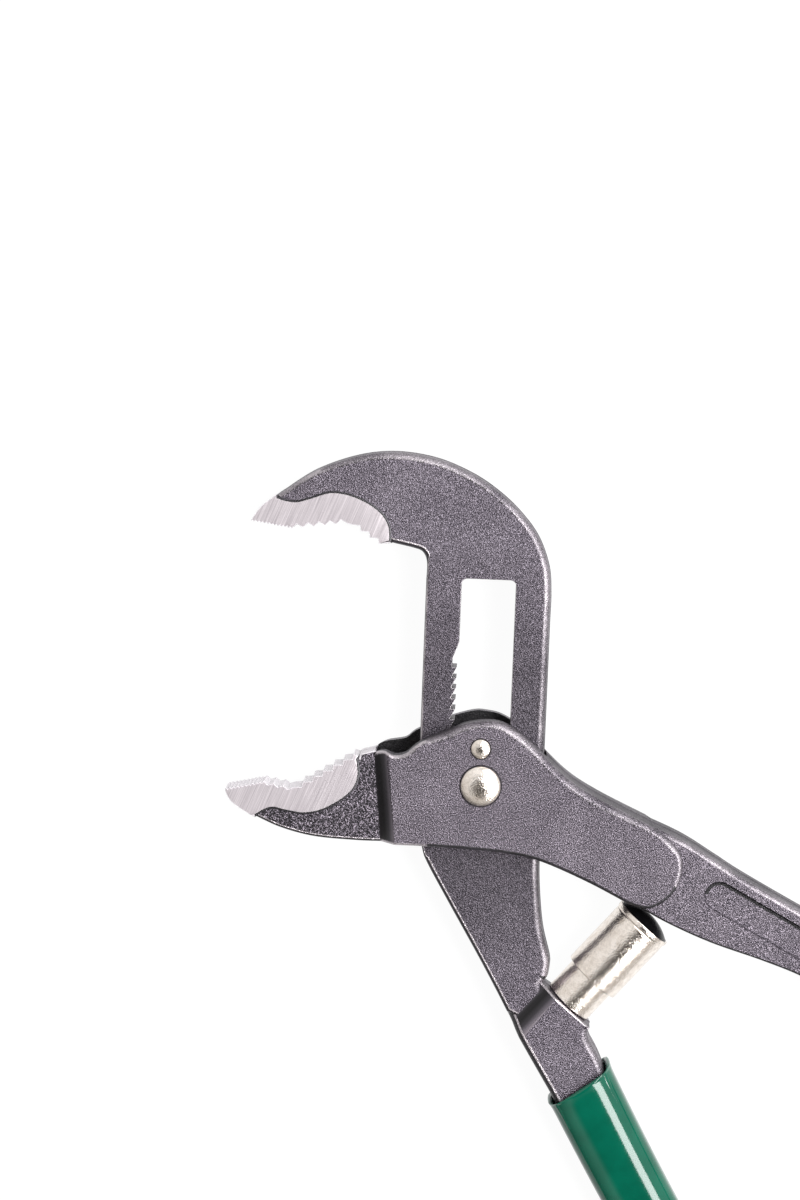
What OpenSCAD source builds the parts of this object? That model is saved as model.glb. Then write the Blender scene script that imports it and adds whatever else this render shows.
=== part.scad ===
// Self-adjusting water pump pliers, lying flat with the jaws wide open.
// Origin: on the pivot axis, at the rear face of the box joint. X and Y lie in
// the plane of the tool, +Z is the tool's thickness.

/* [Box joint] */
// Thickness of the slotted arm
arm_t = 9; // [8:0.1:10]
// Thickness of each cheek of the box
cheek_t = 4; // [3.6:0.1:4.6]
// Gap between the arm and each cheek
side_gap = 0.15; // [0.1:0.01:0.3]
// Gap between the arm's edges and the walls of the window
window_gap = 0.45; // [0.35:0.05:0.9]
// How far the end of the cheeks steps down to the handle's face
cheek_step = 1.4; // [1:0.1:1.8]
// Angle that the arm turns when the handles are squeezed
squeeze = 26; // [20:1:28]

/* [Rivets] */
// Diameter of the pivot rivet's shank
pivot_d = 7; // [6:0.1:8]
// Diameter of the pivot rivet's domed head
pivot_head_d = 9.7; // [9:0.1:11]
// Height of the pivot rivet's domed head
pivot_head_h = 1.7; // [1:0.1:2.2]
// Diameter of the stop rivet's shank
stop_d = 3.2; // [2.6:0.1:3.4]
// Diameter of the stop rivet's domed head
stop_head_d = 4.7; // [4.4:0.1:6]
// Height of the stop rivet's domed head
stop_head_h = 0.9; // [0.5:0.1:1.2]
// Distance from the pivot to the stop rivet
stop_rise = 8.9; // [8.6:0.1:9.6]
// Depth of the countersunk tails at the rear
tail_h = 1.2; // [0.8:0.1:1.5]
// How far a countersunk tail flares past its shank
tail_flare = 1.1; // [0.6:0.1:1.5]
// Radial gap of a rivet in its hole
hole_fit = 0.02; // [0.01:0.01:0.05]
// Radial running gap of what turns on the pivot rivet
bore_fit = 0.04; // [0.02:0.01:0.08]

/* [Arm] */
// Width of the arm beside the slot
arm_w = 30; // [29:0.1:31]
// Lean of the arm from square to the lower jaw
lean = 2.2; // [1.5:0.1:3]
// Width of the slot between its plain walls
slot_w = 13; // [12.8:0.1:13.6]
// Top of the slot above the pivot
slot_top = 48.9; // [48:0.1:50]
// Bottom of the slot below the pivot
slot_drop = 14.6; // [14.4:0.1:15]
// Radius of the slot's top corners
slot_r = 1.4; // [0.8:0.1:2]
// Pitch of the ratchet teeth in the slot
rack_pitch = 2.5; // [2.45:0.01:2.55]
// Depth of the ratchet teeth
rack_depth = 1.1; // [1:0.05:1.2]
// How far the tips of the ratchet teeth stand back from the plain wall
rack_back = 0.35; // [0.3:0.05:0.5]
// Height of the first ratchet tooth above the pivot
rack_top = 27.6; // [27.4:0.1:27.8]
// Number of ratchet teeth
rack_n = 17; // [17:1:17]

/* [Jaws] */
// Depth of the fine teeth at the jaw tips
fine_depth = 0.4; // [0.2:0.05:0.6]
// Depth of the coarse teeth
coarse_depth = 0.95; // [0.6:0.05:1.2]
// How far the ground sides stand proud of the forged face
ground_rise = 0.25; // [0.1:0.05:0.5]

/* [Handles] */
// Thickness of the arm's tail at the plunger seat
pad_t = 14.6; // [14.2:0.1:16]
// Thickness of the tangs inside the grips
tang_t = 11.4; // [10:0.1:12]
// Width of the tangs at the mouth of the grips
tang_w = 14.6; // [13.6:0.1:15]
// Width of the tangs at their ends
tang_end_w = 12.6; // [11:0.1:13]
// Length of each grip
grip_l = 106; // [95:1:112]
// Wall of the grips
grip_wall = 1.25; // [1.1:0.05:1.6]
// How far the lip at a grip's mouth stands out
grip_lip = 0.25; // [0.2:0.05:0.8]
// How far a grip's mouth falls back on the outer side of its handle
mouth_slant = 2.4; // [0:0.2:3]
// How far a grip's mouth falls back over its two faces
mouth_dip = 0.8; // [0:0.2:3]
// Solid end of a grip past its tang
grip_end = 9; // [7:0.5:12]
// Gap between a grip and its tang
grip_fit = 0.08; // [0.05:0.01:0.15]
// Turn of each handle along its grip, towards the other handle
grip_bend = 7; // [2:1:9]
// Squareness of a grip's section, from 2 for an oval upwards
grip_square = 5; // [4.6:0.1:6]
// Width of the recess in the handle's faces
recess_w = 7.2; // [5:0.1:8]
// Length of the recess between the centres of its ends
recess_l = 27; // [20:1:32]
// Depth of the recess
recess_depth = 0.8; // [0.5:0.1:1.2]

/* [Guide washers and pawl] */
// Thickness of each guide washer
washer_t = 2.2; // [1.8:0.1:2.2]
// Gap between a guide washer and the walls of the slot
washer_gap = 0.3; // [0.2:0.05:0.4]
// Thickness of the pawl
pawl_t = 4.5; // [4:0.1:4.5]
// Radius of the pawl's hub
hub_r = 5.9; // [5.4:0.1:6.1]
// How far the pawl's teeth reach past the tips of the ratchet teeth
pawl_bite = 0.65; // [0.5:0.05:0.7]
// Play under the pawl's teeth when they are in mesh
pawl_play = 0.7; // [0.66:0.02:0.76]
// Angle between the pawl held off and in mesh
pawl_swing = 9; // [8.5:0.5:9.5]
// Number of teeth on the pawl
pawl_n = 2; // [1:1:2]
// Thickness of the pawl's bow spring
bow_t = 0.5; // [0.3:0.05:0.7]
// Outer radius of the pawl's bow spring
bow_r = 3.2; // [2.8:0.1:3.2]

/* [Spring plunger] */
// Diameter of the fixed tube
tube_d = 12.2; // [11.4:0.1:12.4]
// Wall of the fixed tube, and its floor
tube_wall = 1.1; // [0.8:0.1:1.2]
// Length of the fixed tube
tube_l = 15.6; // [14:0.1:15.8]
// Height of the flange at the end of the fixed tube
flange_h = 1; // [0.6:0.1:1.5]
// How far the flange stands out past the fixed tube
flange_reach = 0.42; // [0.3:0.02:0.5]
// Diameter of the tube's spigot in the arm
spigot_d = 6; // [4:0.1:7]
// Length of the tube's spigot
spigot_l = 6; // [4:0.5:7]
// Wall of the sliding sleeve
sleeve_wall = 0.6; // [0.5:0.05:0.7]
// Radial gap between the sleeve and the tube
sleeve_gap = 0.08; // [0.05:0.01:0.1]
// Length of the sliding sleeve
sleeve_l = 18.6; // [17.9:0.1:18.7]
// Tube left showing between the sleeve and the seat
sleeve_lift = 8.4; // [8.2:0.1:8.5]
// Height of the rolled rim at the sleeve's low end
rim_h = 1; // [0.6:0.1:1.5]
// How far the lip at the sleeve's high end stands out
sleeve_lip = 0.2; // [0.1:0.05:0.3]
// Height of the button's dome
dome_h = 2.2; // [1.6:0.1:2.3]
// Depth of the button's plug in the sleeve
plug_h = 2.4; // [1.6:0.1:2.6]
// Wire of the plunger spring
spring_wire = 1.2; // [0.8:0.1:1.3]
// Outer diameter of the plunger spring
spring_d = 9.2; // [8:0.1:9.3]
// Curls of the plunger spring
spring_curls = 7; // [5:1:8]

/* [Hidden] */
$fn = 64;

forged = [0.34, 0.32, 0.36];
nickel = [0.86, 0.83, 0.80];
dark = [0.16, 0.16, 0.18];
vinyl = [0.05, 0.43, 0.34];
spring_steel = [0.55, 0.55, 0.57];

// Thickness of the whole box, and the middle of it
box_t = 2 * cheek_t + arm_t + 2 * side_gap;
mid = box_t / 2;
// Thickness of the handle where it leaves the cheeks
handle_t = box_t - 2 * cheek_step;
// Length of a cutter that goes right through, and the gap left at a rest
far = 400;
rest_gap = 0.1;

// Lower jaw and box, in the tool's frame
jaw_tip = [-61.2, -1.4];
jaw_fine_end = [-52, 0.3];
jaw_valley = [-45, -1.2];
jaw_heel = [-30.4, 6.9];
jaw_shoulder = [-25.2, 8.1];
jaw_belly = [[-61.2, -2.4], [-59.6, -4.9], [-55, -8.1], [-48, -11.3], [-40, -13.4], [-30, -14.3]];
jaw_inside = [[-20, 7.5], [-16, -3], [-16, -14.8]];
ground_low = [[-54.2, -8.6], [-50.4, -6.6], [-47, -7.2], [-42.1, -7.9], [-36.8, -6.6],
    [-31, -2.8], [-28.8, 1.6], [-29.3, 8]];
cheek_crown = [[-22.8, 8.4], [-20.4, 7.5], [-18, 7.9], [-15.7, 9.7], [-13.4, 11.1], [-8.2, 13.1],
    [-4, 15], [1, 15.8], [5, 15.3], [8.5, 13.4], [12.2, 10.5], [20.5, 2.4], [28, -2.3], [40, -8.5]];
rear_crown = [[-25.2, 7.9], [-23, 8.8], [-19.1, 9.4], [-17.7, 9.9], [-16.4, 11], [-15, 11.8],
    [-10.5, 13.6], [-6.3, 15.2], [-1.6, 16.3], [1.2, 16.2], [4.6, 15.5], [8.5, 13.4]];
rear_root = [[8.5, 0], [-14, 0], [-24, 4]];
cheek_end = [[40, -8.5], [44.5, -12.2], [48, -16.6], [47.9, -22.3], [44.8, -27.1], [40, -29.6],
    [35, -28.4]];
cheek_under = [[35, -28.4], [25, -23.1], [14, -18.3], [6, -16.5], [-4, -15.5], [-14, -14.9],
    [-30, -14.3]];
ground_low_past = [[-30, 20], [-70, 20], [-70, -8.6]];
ramp_foot = -24.95;
ramp_top = -21.4;
ramp_turn = 3.7;
window_l = 90;
window_mouth = [[-24.9, 20], [-24.9, 6], [-14.2, -6.2], [0, 0], [0, 20]];

// Handle, in the tool's frame; places along it are measured from the pivot
handle_root = [[20, 0], [20, -20]];
handle_under = [[35, -28.4], [43.6, -32.9], [54.6, -37.9], [67, -42.3], [76.4, -46.1]];
handle_back = [[76.9, -30.2], [63, -22.2], [56.5, -18], [48.3, -12.9], [40, -8.5]];
handle_mouth = [87.4, -44.2];
handle_heading = -30;
taper_from = 52;
taper_to = 97;
recess_at = [56.9, -26.5];
recess_turn = -30.5;

// Upper jaw and arm, in the arm's frame
hook_tip = [-57.2, 60.5];
hook_fine_end = [-47.3, 59.1];
hook_apex = [-34.2, 60.9];
hook_step = [-33, 60.6];
hook_heel = [-26.5, 56.3];
hook_root = [[-23.4, 56.5], [-18, 55.4], [-16, 54.5]];
hook_back = [[14.3, 52.5], [11.5, 59.5], [7, 65.2], [1.5, 70], [-5, 74], [-13.5, 77.2], [-23, 78.4],
    [-32, 77.2], [-41.8, 73.5], [-49.5, 68.3], [-54.6, 64.3]];
arm_top = 52.2;
arm_shoulder = 46;
ground_high = [[-54, 66.9], [-49, 66.3], [-46.3, 66.1], [-43.3, 67], [-38, 68.6], [-32, 67.6],
    [-26.5, 64.6], [-23.8, 60.9], [-23.4, 55]];
ground_high_past = [[-65, 55], [-65, 66.9]];
arm_waist = -10;
tail_left = [[-13.5, -16.9], [-12.1, -20.4], [-7, -29.1], [0.5, -41.6], [5.35, -50]];
tail_inside = [[10.9, -55.6], [16, -60], [22, -58]];
tail_right = [[18.5, -44], [18.4, -41.6], [16.6, -35], [15.6, -28], [15, -20]];
tail_edge = [[5.35, -50], [9.15, -56.8], [11.65, -61.5]];
arm_mouth = [25.9, -71];
arm_heading = -61.9;
neck = [[30.9, -64.4], [29.2, -61.6], [28.6, -59.6]];

// The plunger's seat on the arm: its middle, where it faces and its reach to each side
seat = [23.4, -53.2];
seat_turn = 49.7;
seat_ahead = 8.8;
seat_behind = 7.1;
step_foot = 44.6;
step_top = 48.3;
pad_end = 66;

// Ratchet teeth: where their tips and roots lie, the flat and slope under each and the relief above them
tip_u = -slot_w / 2 - rack_back;
root_u = tip_u - rack_depth;
rack_flat = 0.3;
rack_slope = rack_pitch - rack_flat;
relief_top = 33.5;
relief_low = 29.6;
function rack_v(k) = rack_top - rack_pitch * k;

// The pawl in mesh, in the arm's frame: its body keeps clear of the ratchet's tips, each tooth
// leads in by pawl_lead for each millimetre of its height, and its nose slopes back to the hub
pawl_clear = 0.3;
pawl_base_u = tip_u + pawl_clear;
pawl_lead = 2;
nose_back = 2;
nose_top = -4.6;
pawl_face_u = 0.8;
pawl_drop = 13.2;
pawl_tail = [-4.7, -2.5];
pawl_tail_top = 10.6;
bow_at = [1.4, -9.9];

// The plunger along its axis from the seat
sleeve_bore = tube_d + 2 * (flange_reach + sleeve_gap);
sleeve_d = sleeve_bore + 2 * sleeve_wall;
sleeve_end = sleeve_lift + sleeve_l;
lip_h = 0.8;
button_step = 0.3;
button_r = sleeve_d / 2 - button_step;
spring_from = tube_wall + rest_gap;
spring_to = sleeve_end - plug_h - rest_gap;

function back(p) = [for (i = [len(p) - 1:-1:0]) p[i]];
function arc(at, r, from, to, n = 6) =
    [for (k = [0:n]) at + r * [cos(from + (to - from) * k / n), sin(from + (to - from) * k / n)]];
// A smooth open curve through the points, n steps between neighbours
function catmull(a, b, c, d, t) = 0.5 * (2 * b + (c - a) * t + (2 * a - 5 * b + 4 * c - d) * t * t
    + (3 * b - a - 3 * c + d) * t * t * t);
function smooth(p, n = 5) = let (last = len(p) - 1) concat(
    [for (i = [0:last - 1]) for (k = [0:n - 1])
        catmull(p[max(i - 1, 0)], p[i], p[i + 1], p[min(i + 2, last)], k / n)],
    [p[last]]);
// A row of n teeth with tips from a to b. Each valley lies a share of the pitch
// past its tip, and goes in to the left of the row by depth, or right if negative.
function tooth_row(a, b, n, depth, share) =
    let (step = (b - a) / n, side = [-step[1], step[0]] / norm(step))
    [for (i = [0:n - 1]) each [a + step * i, a + step * (i + share) + side * depth]];
// A handle's centre line is an arc: the point s along it from the grip's mouth, moved off to its left
function spine(at, heading, bend, s, off) =
    let (r = grip_l * 180 / (bend * PI), a = heading + bend * s / grip_l)
    at + r * [sin(a) - sin(heading), cos(heading) - cos(a)] + off * [-sin(a), cos(a)];
tang_l = grip_l - grip_end;
tang_steps = 10;
function tang_half(s) = (tang_w + (tang_end_w - tang_w) * s / tang_l) / 2;
function tang_side(at, heading, bend, side) =
    [for (k = [0:tang_steps]) let (s = tang_l * k / tang_steps)
        spine(at, heading, bend, s, side * tang_half(s))];

module slab(t) translate([0, 0, mid - t / 2]) linear_extrude(t) children();
module in_arm_frame() rotate([0, 0, -lean]) children();
module on_seat() in_arm_frame() translate([seat[0], seat[1], mid]) rotate([0, 0, seat_turn])
    rotate([0, 90, 0]) children();
// Half a side profile of [along, height] points, mirrored about the middle of the
// thickness and drawn out square to the direction turn
module side_prism(half, turn) translate([0, 0, mid]) rotate([0, 0, turn]) rotate([90, 0, 0])
    linear_extrude(2 * far, center = true) polygon(concat(half, [for (p = back(half)) [p[0], -p[1]]]));

// Lower jaw, box and handle
jaw_teeth = concat(
    tooth_row(jaw_tip, jaw_fine_end, 10, -fine_depth, 0.5),
    tooth_row(jaw_fine_end, jaw_valley, 3, -0.75 * coarse_depth, 0.5),
    tooth_row(jaw_valley, jaw_heel, 6, -coarse_depth, 0.7));
jaw_outline = concat(jaw_teeth, [jaw_heel, jaw_shoulder], jaw_inside, back(smooth(jaw_belly)));
box_outline = concat([jaw_heel, jaw_shoulder], smooth(cheek_crown), smooth(cheek_end),
    smooth(cheek_under));
handle_outline = concat(handle_root, smooth(handle_under),
    tang_side(handle_mouth, handle_heading, -grip_bend, -1),
    back(tang_side(handle_mouth, handle_heading, -grip_bend, 1)), smooth(handle_back));
function handle_profile(less) = [[0, handle_t / 2 - less], [taper_from, handle_t / 2 - less],
    [taper_to, tang_t / 2 - less], [far, tang_t / 2 - less]];

module box_window() {
    for (a = [-lean, squeeze - lean]) translate([0, 0, mid]) rotate([0, 0, a])
        cube([arm_w + 2 * window_gap, window_l, arm_t + 2 * side_gap], center = true);
    slab(arm_t + 2 * side_gap) polygon(window_mouth);
}
module handle_recess() difference() {
    translate([recess_at[0], recess_at[1], 0]) rotate([0, 0, recess_turn]) {
        for (x = [0, recess_l]) translate([x, 0, 0]) cylinder(d = recess_w, h = box_t);
        translate([0, -recess_w / 2, 0]) cube([recess_l, recess_w, box_t]);
    }
    side_prism(handle_profile(recess_depth), handle_heading);
}
module lower_jaw_handle() color(forged) difference() {
    union() {
        slab(arm_t) polygon(jaw_outline);
        intersection() {
            slab(arm_t + 2 * ground_rise) polygon(jaw_outline);
            slab(box_t) polygon(concat(smooth(ground_low), ground_low_past));
        }
        intersection() {
            union() {
                slab(box_t) polygon(box_outline);
                linear_extrude(mid - arm_t / 2 - side_gap) polygon(concat(smooth(rear_crown), rear_root));
            }
            side_prism([[ramp_foot - 3, arm_t / 2], [ramp_foot, arm_t / 2], [ramp_top, box_t / 2],
                [far, box_t / 2]], ramp_turn);
        }
        intersection() {
            slab(handle_t) polygon(handle_outline);
            side_prism(handle_profile(0), handle_heading);
        }
    }
    box_window();
    handle_recess();
    rivet_hole(pivot_d, 0);
    rivet_hole(stop_d, stop_rise);
}

// Rivets: domed at the front, countersunk flush at the rear
module rivet_shank(d, grow, h) rotate_extrude() polygon([[0, 0], [d / 2 + tail_flare + grow, 0],
    [d / 2 + grow, tail_h], [d / 2 + grow, h], [0, h]]);
module rivet_hole(d, rise) translate([0, rise, 0]) rivet_shank(d, hole_fit, box_t + 1);
module domed_rivet(d, head_d, head_h, rise) translate([0, rise, 0]) {
    ball = (head_d * head_d / 4 + head_h * head_h) / (2 * head_h);
    rivet_shank(d, 0, box_t);
    translate([0, 0, box_t]) intersection() {
        translate([0, 0, head_h - ball]) sphere(ball);
        cylinder(d = head_d, h = head_h);
    }
}
module pivot_rivet() color(nickel) domed_rivet(pivot_d, pivot_head_d, pivot_head_h, 0);
module stop_rivet() color(nickel) domed_rivet(stop_d, stop_head_d, stop_head_h, stop_rise);

// Upper jaw and arm
hook_teeth = concat(
    tooth_row(hook_tip, hook_fine_end, 12, fine_depth, 0.5),
    tooth_row(hook_fine_end, hook_apex, 5, coarse_depth, 0.5), [hook_apex],
    tooth_row(hook_step, hook_heel, 3, coarse_depth, 0.64), [hook_heel]);
seat_along = [sin(seat_turn), -cos(seat_turn)];
seat_front = seat - seat_ahead * seat_along;
arm_outline = concat(hook_teeth, smooth(hook_root), [[-arm_w / 2, arm_top], [-arm_w / 2, arm_waist]],
    smooth(tail_left), tail_inside, [seat_front], smooth(tail_right),
    [[arm_w / 2, arm_waist], [arm_w / 2, arm_shoulder]], smooth(hook_back));
tail_outline = concat(tail_edge, tang_side(arm_mouth, arm_heading, grip_bend, -1),
    back(tang_side(arm_mouth, arm_heading, grip_bend, 1)), neck,
    [seat + seat_behind * seat_along, seat_front]);
slot_outline = concat(
    arc([slot_w / 2 - slot_r, slot_top - slot_r], slot_r, 0, 90),
    arc([slot_r - slot_w / 2, slot_top - slot_r], slot_r, 90, 180),
    [[-slot_w / 2, relief_top], [root_u, relief_low]],
    [for (k = [0:rack_n - 1]) each [[root_u, rack_v(k)], [tip_u, rack_v(k)],
        [root_u, rack_v(k) - rack_slope]]],
    [[root_u, -slot_drop], [slot_w / 2, -slot_drop]]);

module upper_jaw_arm() color(forged) difference() {
    in_arm_frame() difference() {
        union() {
            slab(arm_t) polygon(arm_outline);
            intersection() {
                slab(arm_t + 2 * ground_rise) polygon(arm_outline);
                slab(box_t) polygon(concat(smooth(ground_high), ground_high_past));
            }
            intersection() {
                slab(pad_t) polygon(tail_outline);
                side_prism([[step_foot - 20, arm_t / 2], [step_foot, arm_t / 2], [step_top, pad_t / 2],
                    [pad_end, tang_t / 2], [far, tang_t / 2]], seat_turn - 90);
            }
        }
        slab(box_t) polygon(slot_outline);
    }
    on_seat() translate([0, 0, -spigot_l - rest_gap])
        cylinder(d = spigot_d + 2 * hole_fit, h = spigot_l + tube_wall);
}

// Guide washers and pawl on the pivot rivet
module on_pivot(d, t, z) difference() {
    translate([0, 0, z]) cylinder(d = d, h = t);
    pivot_bore();
}
module pivot_bore() cylinder(d = pivot_d + 2 * bore_fit, h = box_t);
washer_d = slot_w - 2 * washer_gap;
washer_in = pawl_t / 2 + rest_gap;
module guide_washer_front() color(nickel) on_pivot(washer_d, washer_t, mid + washer_in);
module guide_washer_rear() color(nickel) on_pivot(washer_d, washer_t, mid - washer_in - washer_t);

pawl_first = rack_n - pawl_n;
pawl_teeth = [for (k = [pawl_first:rack_n - 1]) let (v = rack_v(k) + pawl_play) each [
    [pawl_base_u, v + pawl_lead * (pawl_bite + pawl_clear)], [tip_u - pawl_bite, v], [pawl_base_u, v]]];
nose_outline = concat([[pawl_face_u, 0], [pawl_base_u + nose_back, 0], [pawl_base_u, nose_top]], pawl_teeth,
    [[pawl_base_u, -pawl_drop], [pawl_face_u, -pawl_drop]]);
module as_pawl() in_arm_frame() rotate([0, 0, pawl_swing]) children();
module pawl() color(spring_steel) difference() {
    as_pawl() {
        slab(pawl_t) polygon(nose_outline);
        translate([0, 0, mid - pawl_t / 2]) cylinder(r = hub_r, h = pawl_t);
        translate([pawl_tail[0], 0, mid - pawl_t / 2])
            cube([pawl_tail[1] - pawl_tail[0], pawl_tail_top, pawl_t]);
    }
    pivot_bore();
}
module pawl_spring() color(spring_steel) as_pawl() intersection() {
    translate([bow_at[0], bow_at[1], mid - pawl_t / 2]) difference() {
        cylinder(r = bow_r, h = pawl_t);
        translate([0, 0, -1]) cylinder(r = bow_r - bow_t, h = pawl_t + 2);
    }
    translate([pawl_face_u, bow_at[1] - bow_r, 0]) cube([2 * bow_r, 2 * bow_r, box_t]);
}

// Spring plunger
module plunger_tube() color(nickel) on_seat() {
    rotate_extrude() polygon([[0, 0], [tube_d / 2, 0], [tube_d / 2, tube_l - flange_h],
        [tube_d / 2 + flange_reach, tube_l - flange_h], [tube_d / 2 + flange_reach, tube_l],
        [tube_d / 2 - tube_wall, tube_l], [tube_d / 2 - tube_wall, tube_wall], [0, tube_wall]]);
    translate([0, 0, -spigot_l]) cylinder(d = spigot_d, h = spigot_l + tube_wall / 2);
}
module plunger_sleeve() color(nickel) on_seat() rotate_extrude() polygon([
    [tube_d / 2 + sleeve_gap, sleeve_lift], [sleeve_d / 2, sleeve_lift],
    [sleeve_d / 2, sleeve_end - lip_h], [sleeve_d / 2 + sleeve_lip, sleeve_end - lip_h],
    [sleeve_d / 2 + sleeve_lip, sleeve_end], [sleeve_bore / 2, sleeve_end],
    [sleeve_bore / 2, sleeve_lift + rim_h], [tube_d / 2 + sleeve_gap, sleeve_lift + rim_h]]);
module plunger_button() color(dark) on_seat() {
    ball = (button_r * button_r + dome_h * dome_h) / (2 * dome_h);
    translate([0, 0, sleeve_end]) intersection() {
        translate([0, 0, dome_h - ball]) sphere(ball);
        cylinder(r = button_r, h = dome_h);
    }
    translate([0, 0, sleeve_end - plug_h]) cylinder(r = sleeve_bore / 2 - hole_fit, h = plug_h);
}

// The coil: rings of coil_sides points set square to the wire, coil_rings to a curl
coil_sides = 6;
coil_rings = 8;
coil_n = coil_rings * spring_curls;
coil_r = (spring_d - spring_wire) / 2;
coil_rise = (spring_to - spring_from - spring_wire) / spring_curls;
coil_points = [for (k = [0:coil_n]) for (j = [0:coil_sides - 1])
    let (a = 360 * k / coil_rings, b = -360 * j / coil_sides, r = coil_r + spring_wire / 2 * cos(b))
    [r * cos(a), r * sin(a),
        spring_from + spring_wire / 2 + coil_rise * k / coil_rings + spring_wire / 2 * sin(b)]];
module plunger_spring() color(spring_steel) on_seat() tube_mesh(coil_points, coil_n, coil_sides);
echo(plunger_spring_self_gap = coil_rise - spring_wire);

// A closed tube of n + 1 rings of m points, with triangle faces; each end fans out from its middle
module tube_mesh(points, n, m) {
    ends = [(points[0] + points[m / 2]) / 2, (points[n * m] + points[n * m + m / 2]) / 2];
    first = len(points);
    polyhedron(concat(points, ends), [for (j = [0:m - 1]) let (i = (j + 1) % m) each concat(
        [for (k = [0:n - 1]) each [[k * m + j, (k + 1) * m + j, (k + 1) * m + i],
            [k * m + j, (k + 1) * m + i, k * m + i]]],
        [[first, j, i], [first + 1, n * m + i, n * m + j]])]);
}

// Grips: a cup. Its rings run from the blind end of the hollow, which takes the tang,
// out to the mouth, over the lip and along the rounded outside to the closed end.
grip_sides = 32;
lip_l = 2.4;
lip_flat = 1.4;
round_l = 7;
mouth_lead = 14;
hollow_stops = [for (k = [tang_steps:-1:0]) tang_l * k / tang_steps + (k == tang_steps ? grip_fit : 0)];
grip_stops = concat([0, lip_flat, lip_l], [for (k = [1:10]) lip_l + (grip_l - round_l - lip_l) * k / 10],
    [for (a = [15:15:75]) grip_l - round_l + round_l * sin(a)], [grip_l]);
function grip_round(s) = s <= grip_l - round_l ? 1
    : max(sqrt(1 - pow((s - grip_l + round_l) / round_l, 2)), 0.2);
function grip_grow(s) = grip_fit + grip_wall + (s < lip_l ? grip_lip : 0);
// Points round a section: on a square if power is 0, or else on a squared oval of that power
function round_point(j, power) = let (c = cos(360 * j / grip_sides), d = sin(360 * j / grip_sides))
    power == 0 ? [c, d] / max(abs(c), abs(d))
    : [sign(c) * pow(abs(c), 2 / power), sign(d) * pow(abs(d), 2 / power)];
// How far a point of a section moves along the handle near the mouth, and fades out past it
function mouth_fall(s, q, side) = max(0, 1 - s / mouth_lead)
    * (mouth_slant * (1 - side * q[0]) / 2 + mouth_dip * q[1] * q[1]);
function grip_ring(at, heading, bend, s, grow, power) = [for (j = [0:grip_sides - 1])
    let (q = round_point(j, power), f = power == 0 ? 1 : grip_round(s),
        p = spine(at, heading, bend, s + mouth_fall(s, q, sign(bend)),
            f * (tang_half(min(s, tang_l)) + grow) * q[0]))
    [p[0], p[1], mid + f * (tang_t / 2 + grow) * q[1]]];
module grip(at, heading, bend) color(vinyl) tube_mesh(concat(
    [for (s = hollow_stops) each grip_ring(at, heading, bend, s, grip_fit, 0)],
    [for (s = grip_stops) each grip_ring(at, heading, bend, s, grip_grow(s), grip_square)]),
    len(hollow_stops) + len(grip_stops) - 1, grip_sides);
arm_mouth_leant = [arm_mouth[0] * cos(lean) + arm_mouth[1] * sin(lean),
    arm_mouth[1] * cos(lean) - arm_mouth[0] * sin(lean)];
module arm_grip() grip(arm_mouth_leant, arm_heading - lean, grip_bend);
module handle_grip() grip(handle_mouth, handle_heading, -grip_bend);

lower_jaw_handle();
pivot_rivet();
stop_rivet();
handle_grip();
guide_washer_front();
guide_washer_rear();
upper_jaw_arm();
arm_grip();
plunger_tube();
plunger_spring();
plunger_sleeve();
plunger_button();
pawl();
pawl_spring();
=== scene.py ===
"""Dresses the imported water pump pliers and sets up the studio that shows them.

Lengths are written in millimetres and turned into metres when a mesh is made. The arm is drawn in its
own frame, which leans by LEAN from the tool's frame, and is turned back before it is placed.
"""

import logging
import math
from dataclasses import dataclass, field, replace
from enum import Enum, IntEnum
from functools import cache
from typing import Any, Callable

import bpy
import numpy as np
from mathutils import Matrix, Vector
from mathutils.geometry import delaunay_2d_cdt

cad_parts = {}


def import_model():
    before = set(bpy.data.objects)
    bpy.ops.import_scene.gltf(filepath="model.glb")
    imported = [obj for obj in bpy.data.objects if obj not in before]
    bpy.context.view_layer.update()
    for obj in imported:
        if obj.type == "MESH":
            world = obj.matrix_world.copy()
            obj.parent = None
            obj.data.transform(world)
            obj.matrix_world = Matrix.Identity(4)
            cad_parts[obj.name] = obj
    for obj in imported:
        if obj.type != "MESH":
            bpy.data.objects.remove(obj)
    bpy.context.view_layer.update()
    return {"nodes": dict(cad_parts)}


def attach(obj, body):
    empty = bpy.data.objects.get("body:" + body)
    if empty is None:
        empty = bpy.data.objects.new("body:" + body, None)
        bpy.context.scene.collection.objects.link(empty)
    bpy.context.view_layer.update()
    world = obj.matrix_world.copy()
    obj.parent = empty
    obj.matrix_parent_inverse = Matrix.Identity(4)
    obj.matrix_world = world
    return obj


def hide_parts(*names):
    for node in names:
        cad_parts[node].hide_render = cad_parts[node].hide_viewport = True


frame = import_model()
LOG = logging.getLogger("pliers")

Array = np.ndarray
Point = tuple[float, float]
Place = tuple[float, float, float]
Field = Callable[[Array], Array]

MM = 0.001
# Height of the plane that both forgings lie about
MIDDLE = 8.65
# How far the open arm's frame is turned from the tool's, clockwise, in degrees
LEAN = 2.2
# How far the arm turns back when the handles close, in degrees
CLOSING = 26.0
# Height of the stop rivet above the pivot rivet
STOP_RISE = 8.9
# Middle and heading of the plunger's seat, in the arm's frame
SEAT, SEAT_TURN = (23.4, -53.2), 49.7
# Heading and ends of the ramp from the lower jaw up to the box, along that heading
RAMP_TURN, RAMP_FOOT, RAMP_CREST = 3.7, -24.95, -21.4
# Ends of the step from the arm up to its tail, along the tail's heading
STEP_FOOT, STEP_CREST = 44.6, 48.3
# Half thickness of both jaws, of their ground ends and of both tangs
JAW_HALF, GROUND_HALF, TANG_HALF = 4.5, 4.75, 5.7


class Body(Enum):
    """The rigid bodies that pieces ride on."""

    LOWER = "lower_jaw"
    UPPER = "upper_jaw"
    PLUNGER = "plunger"


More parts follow.
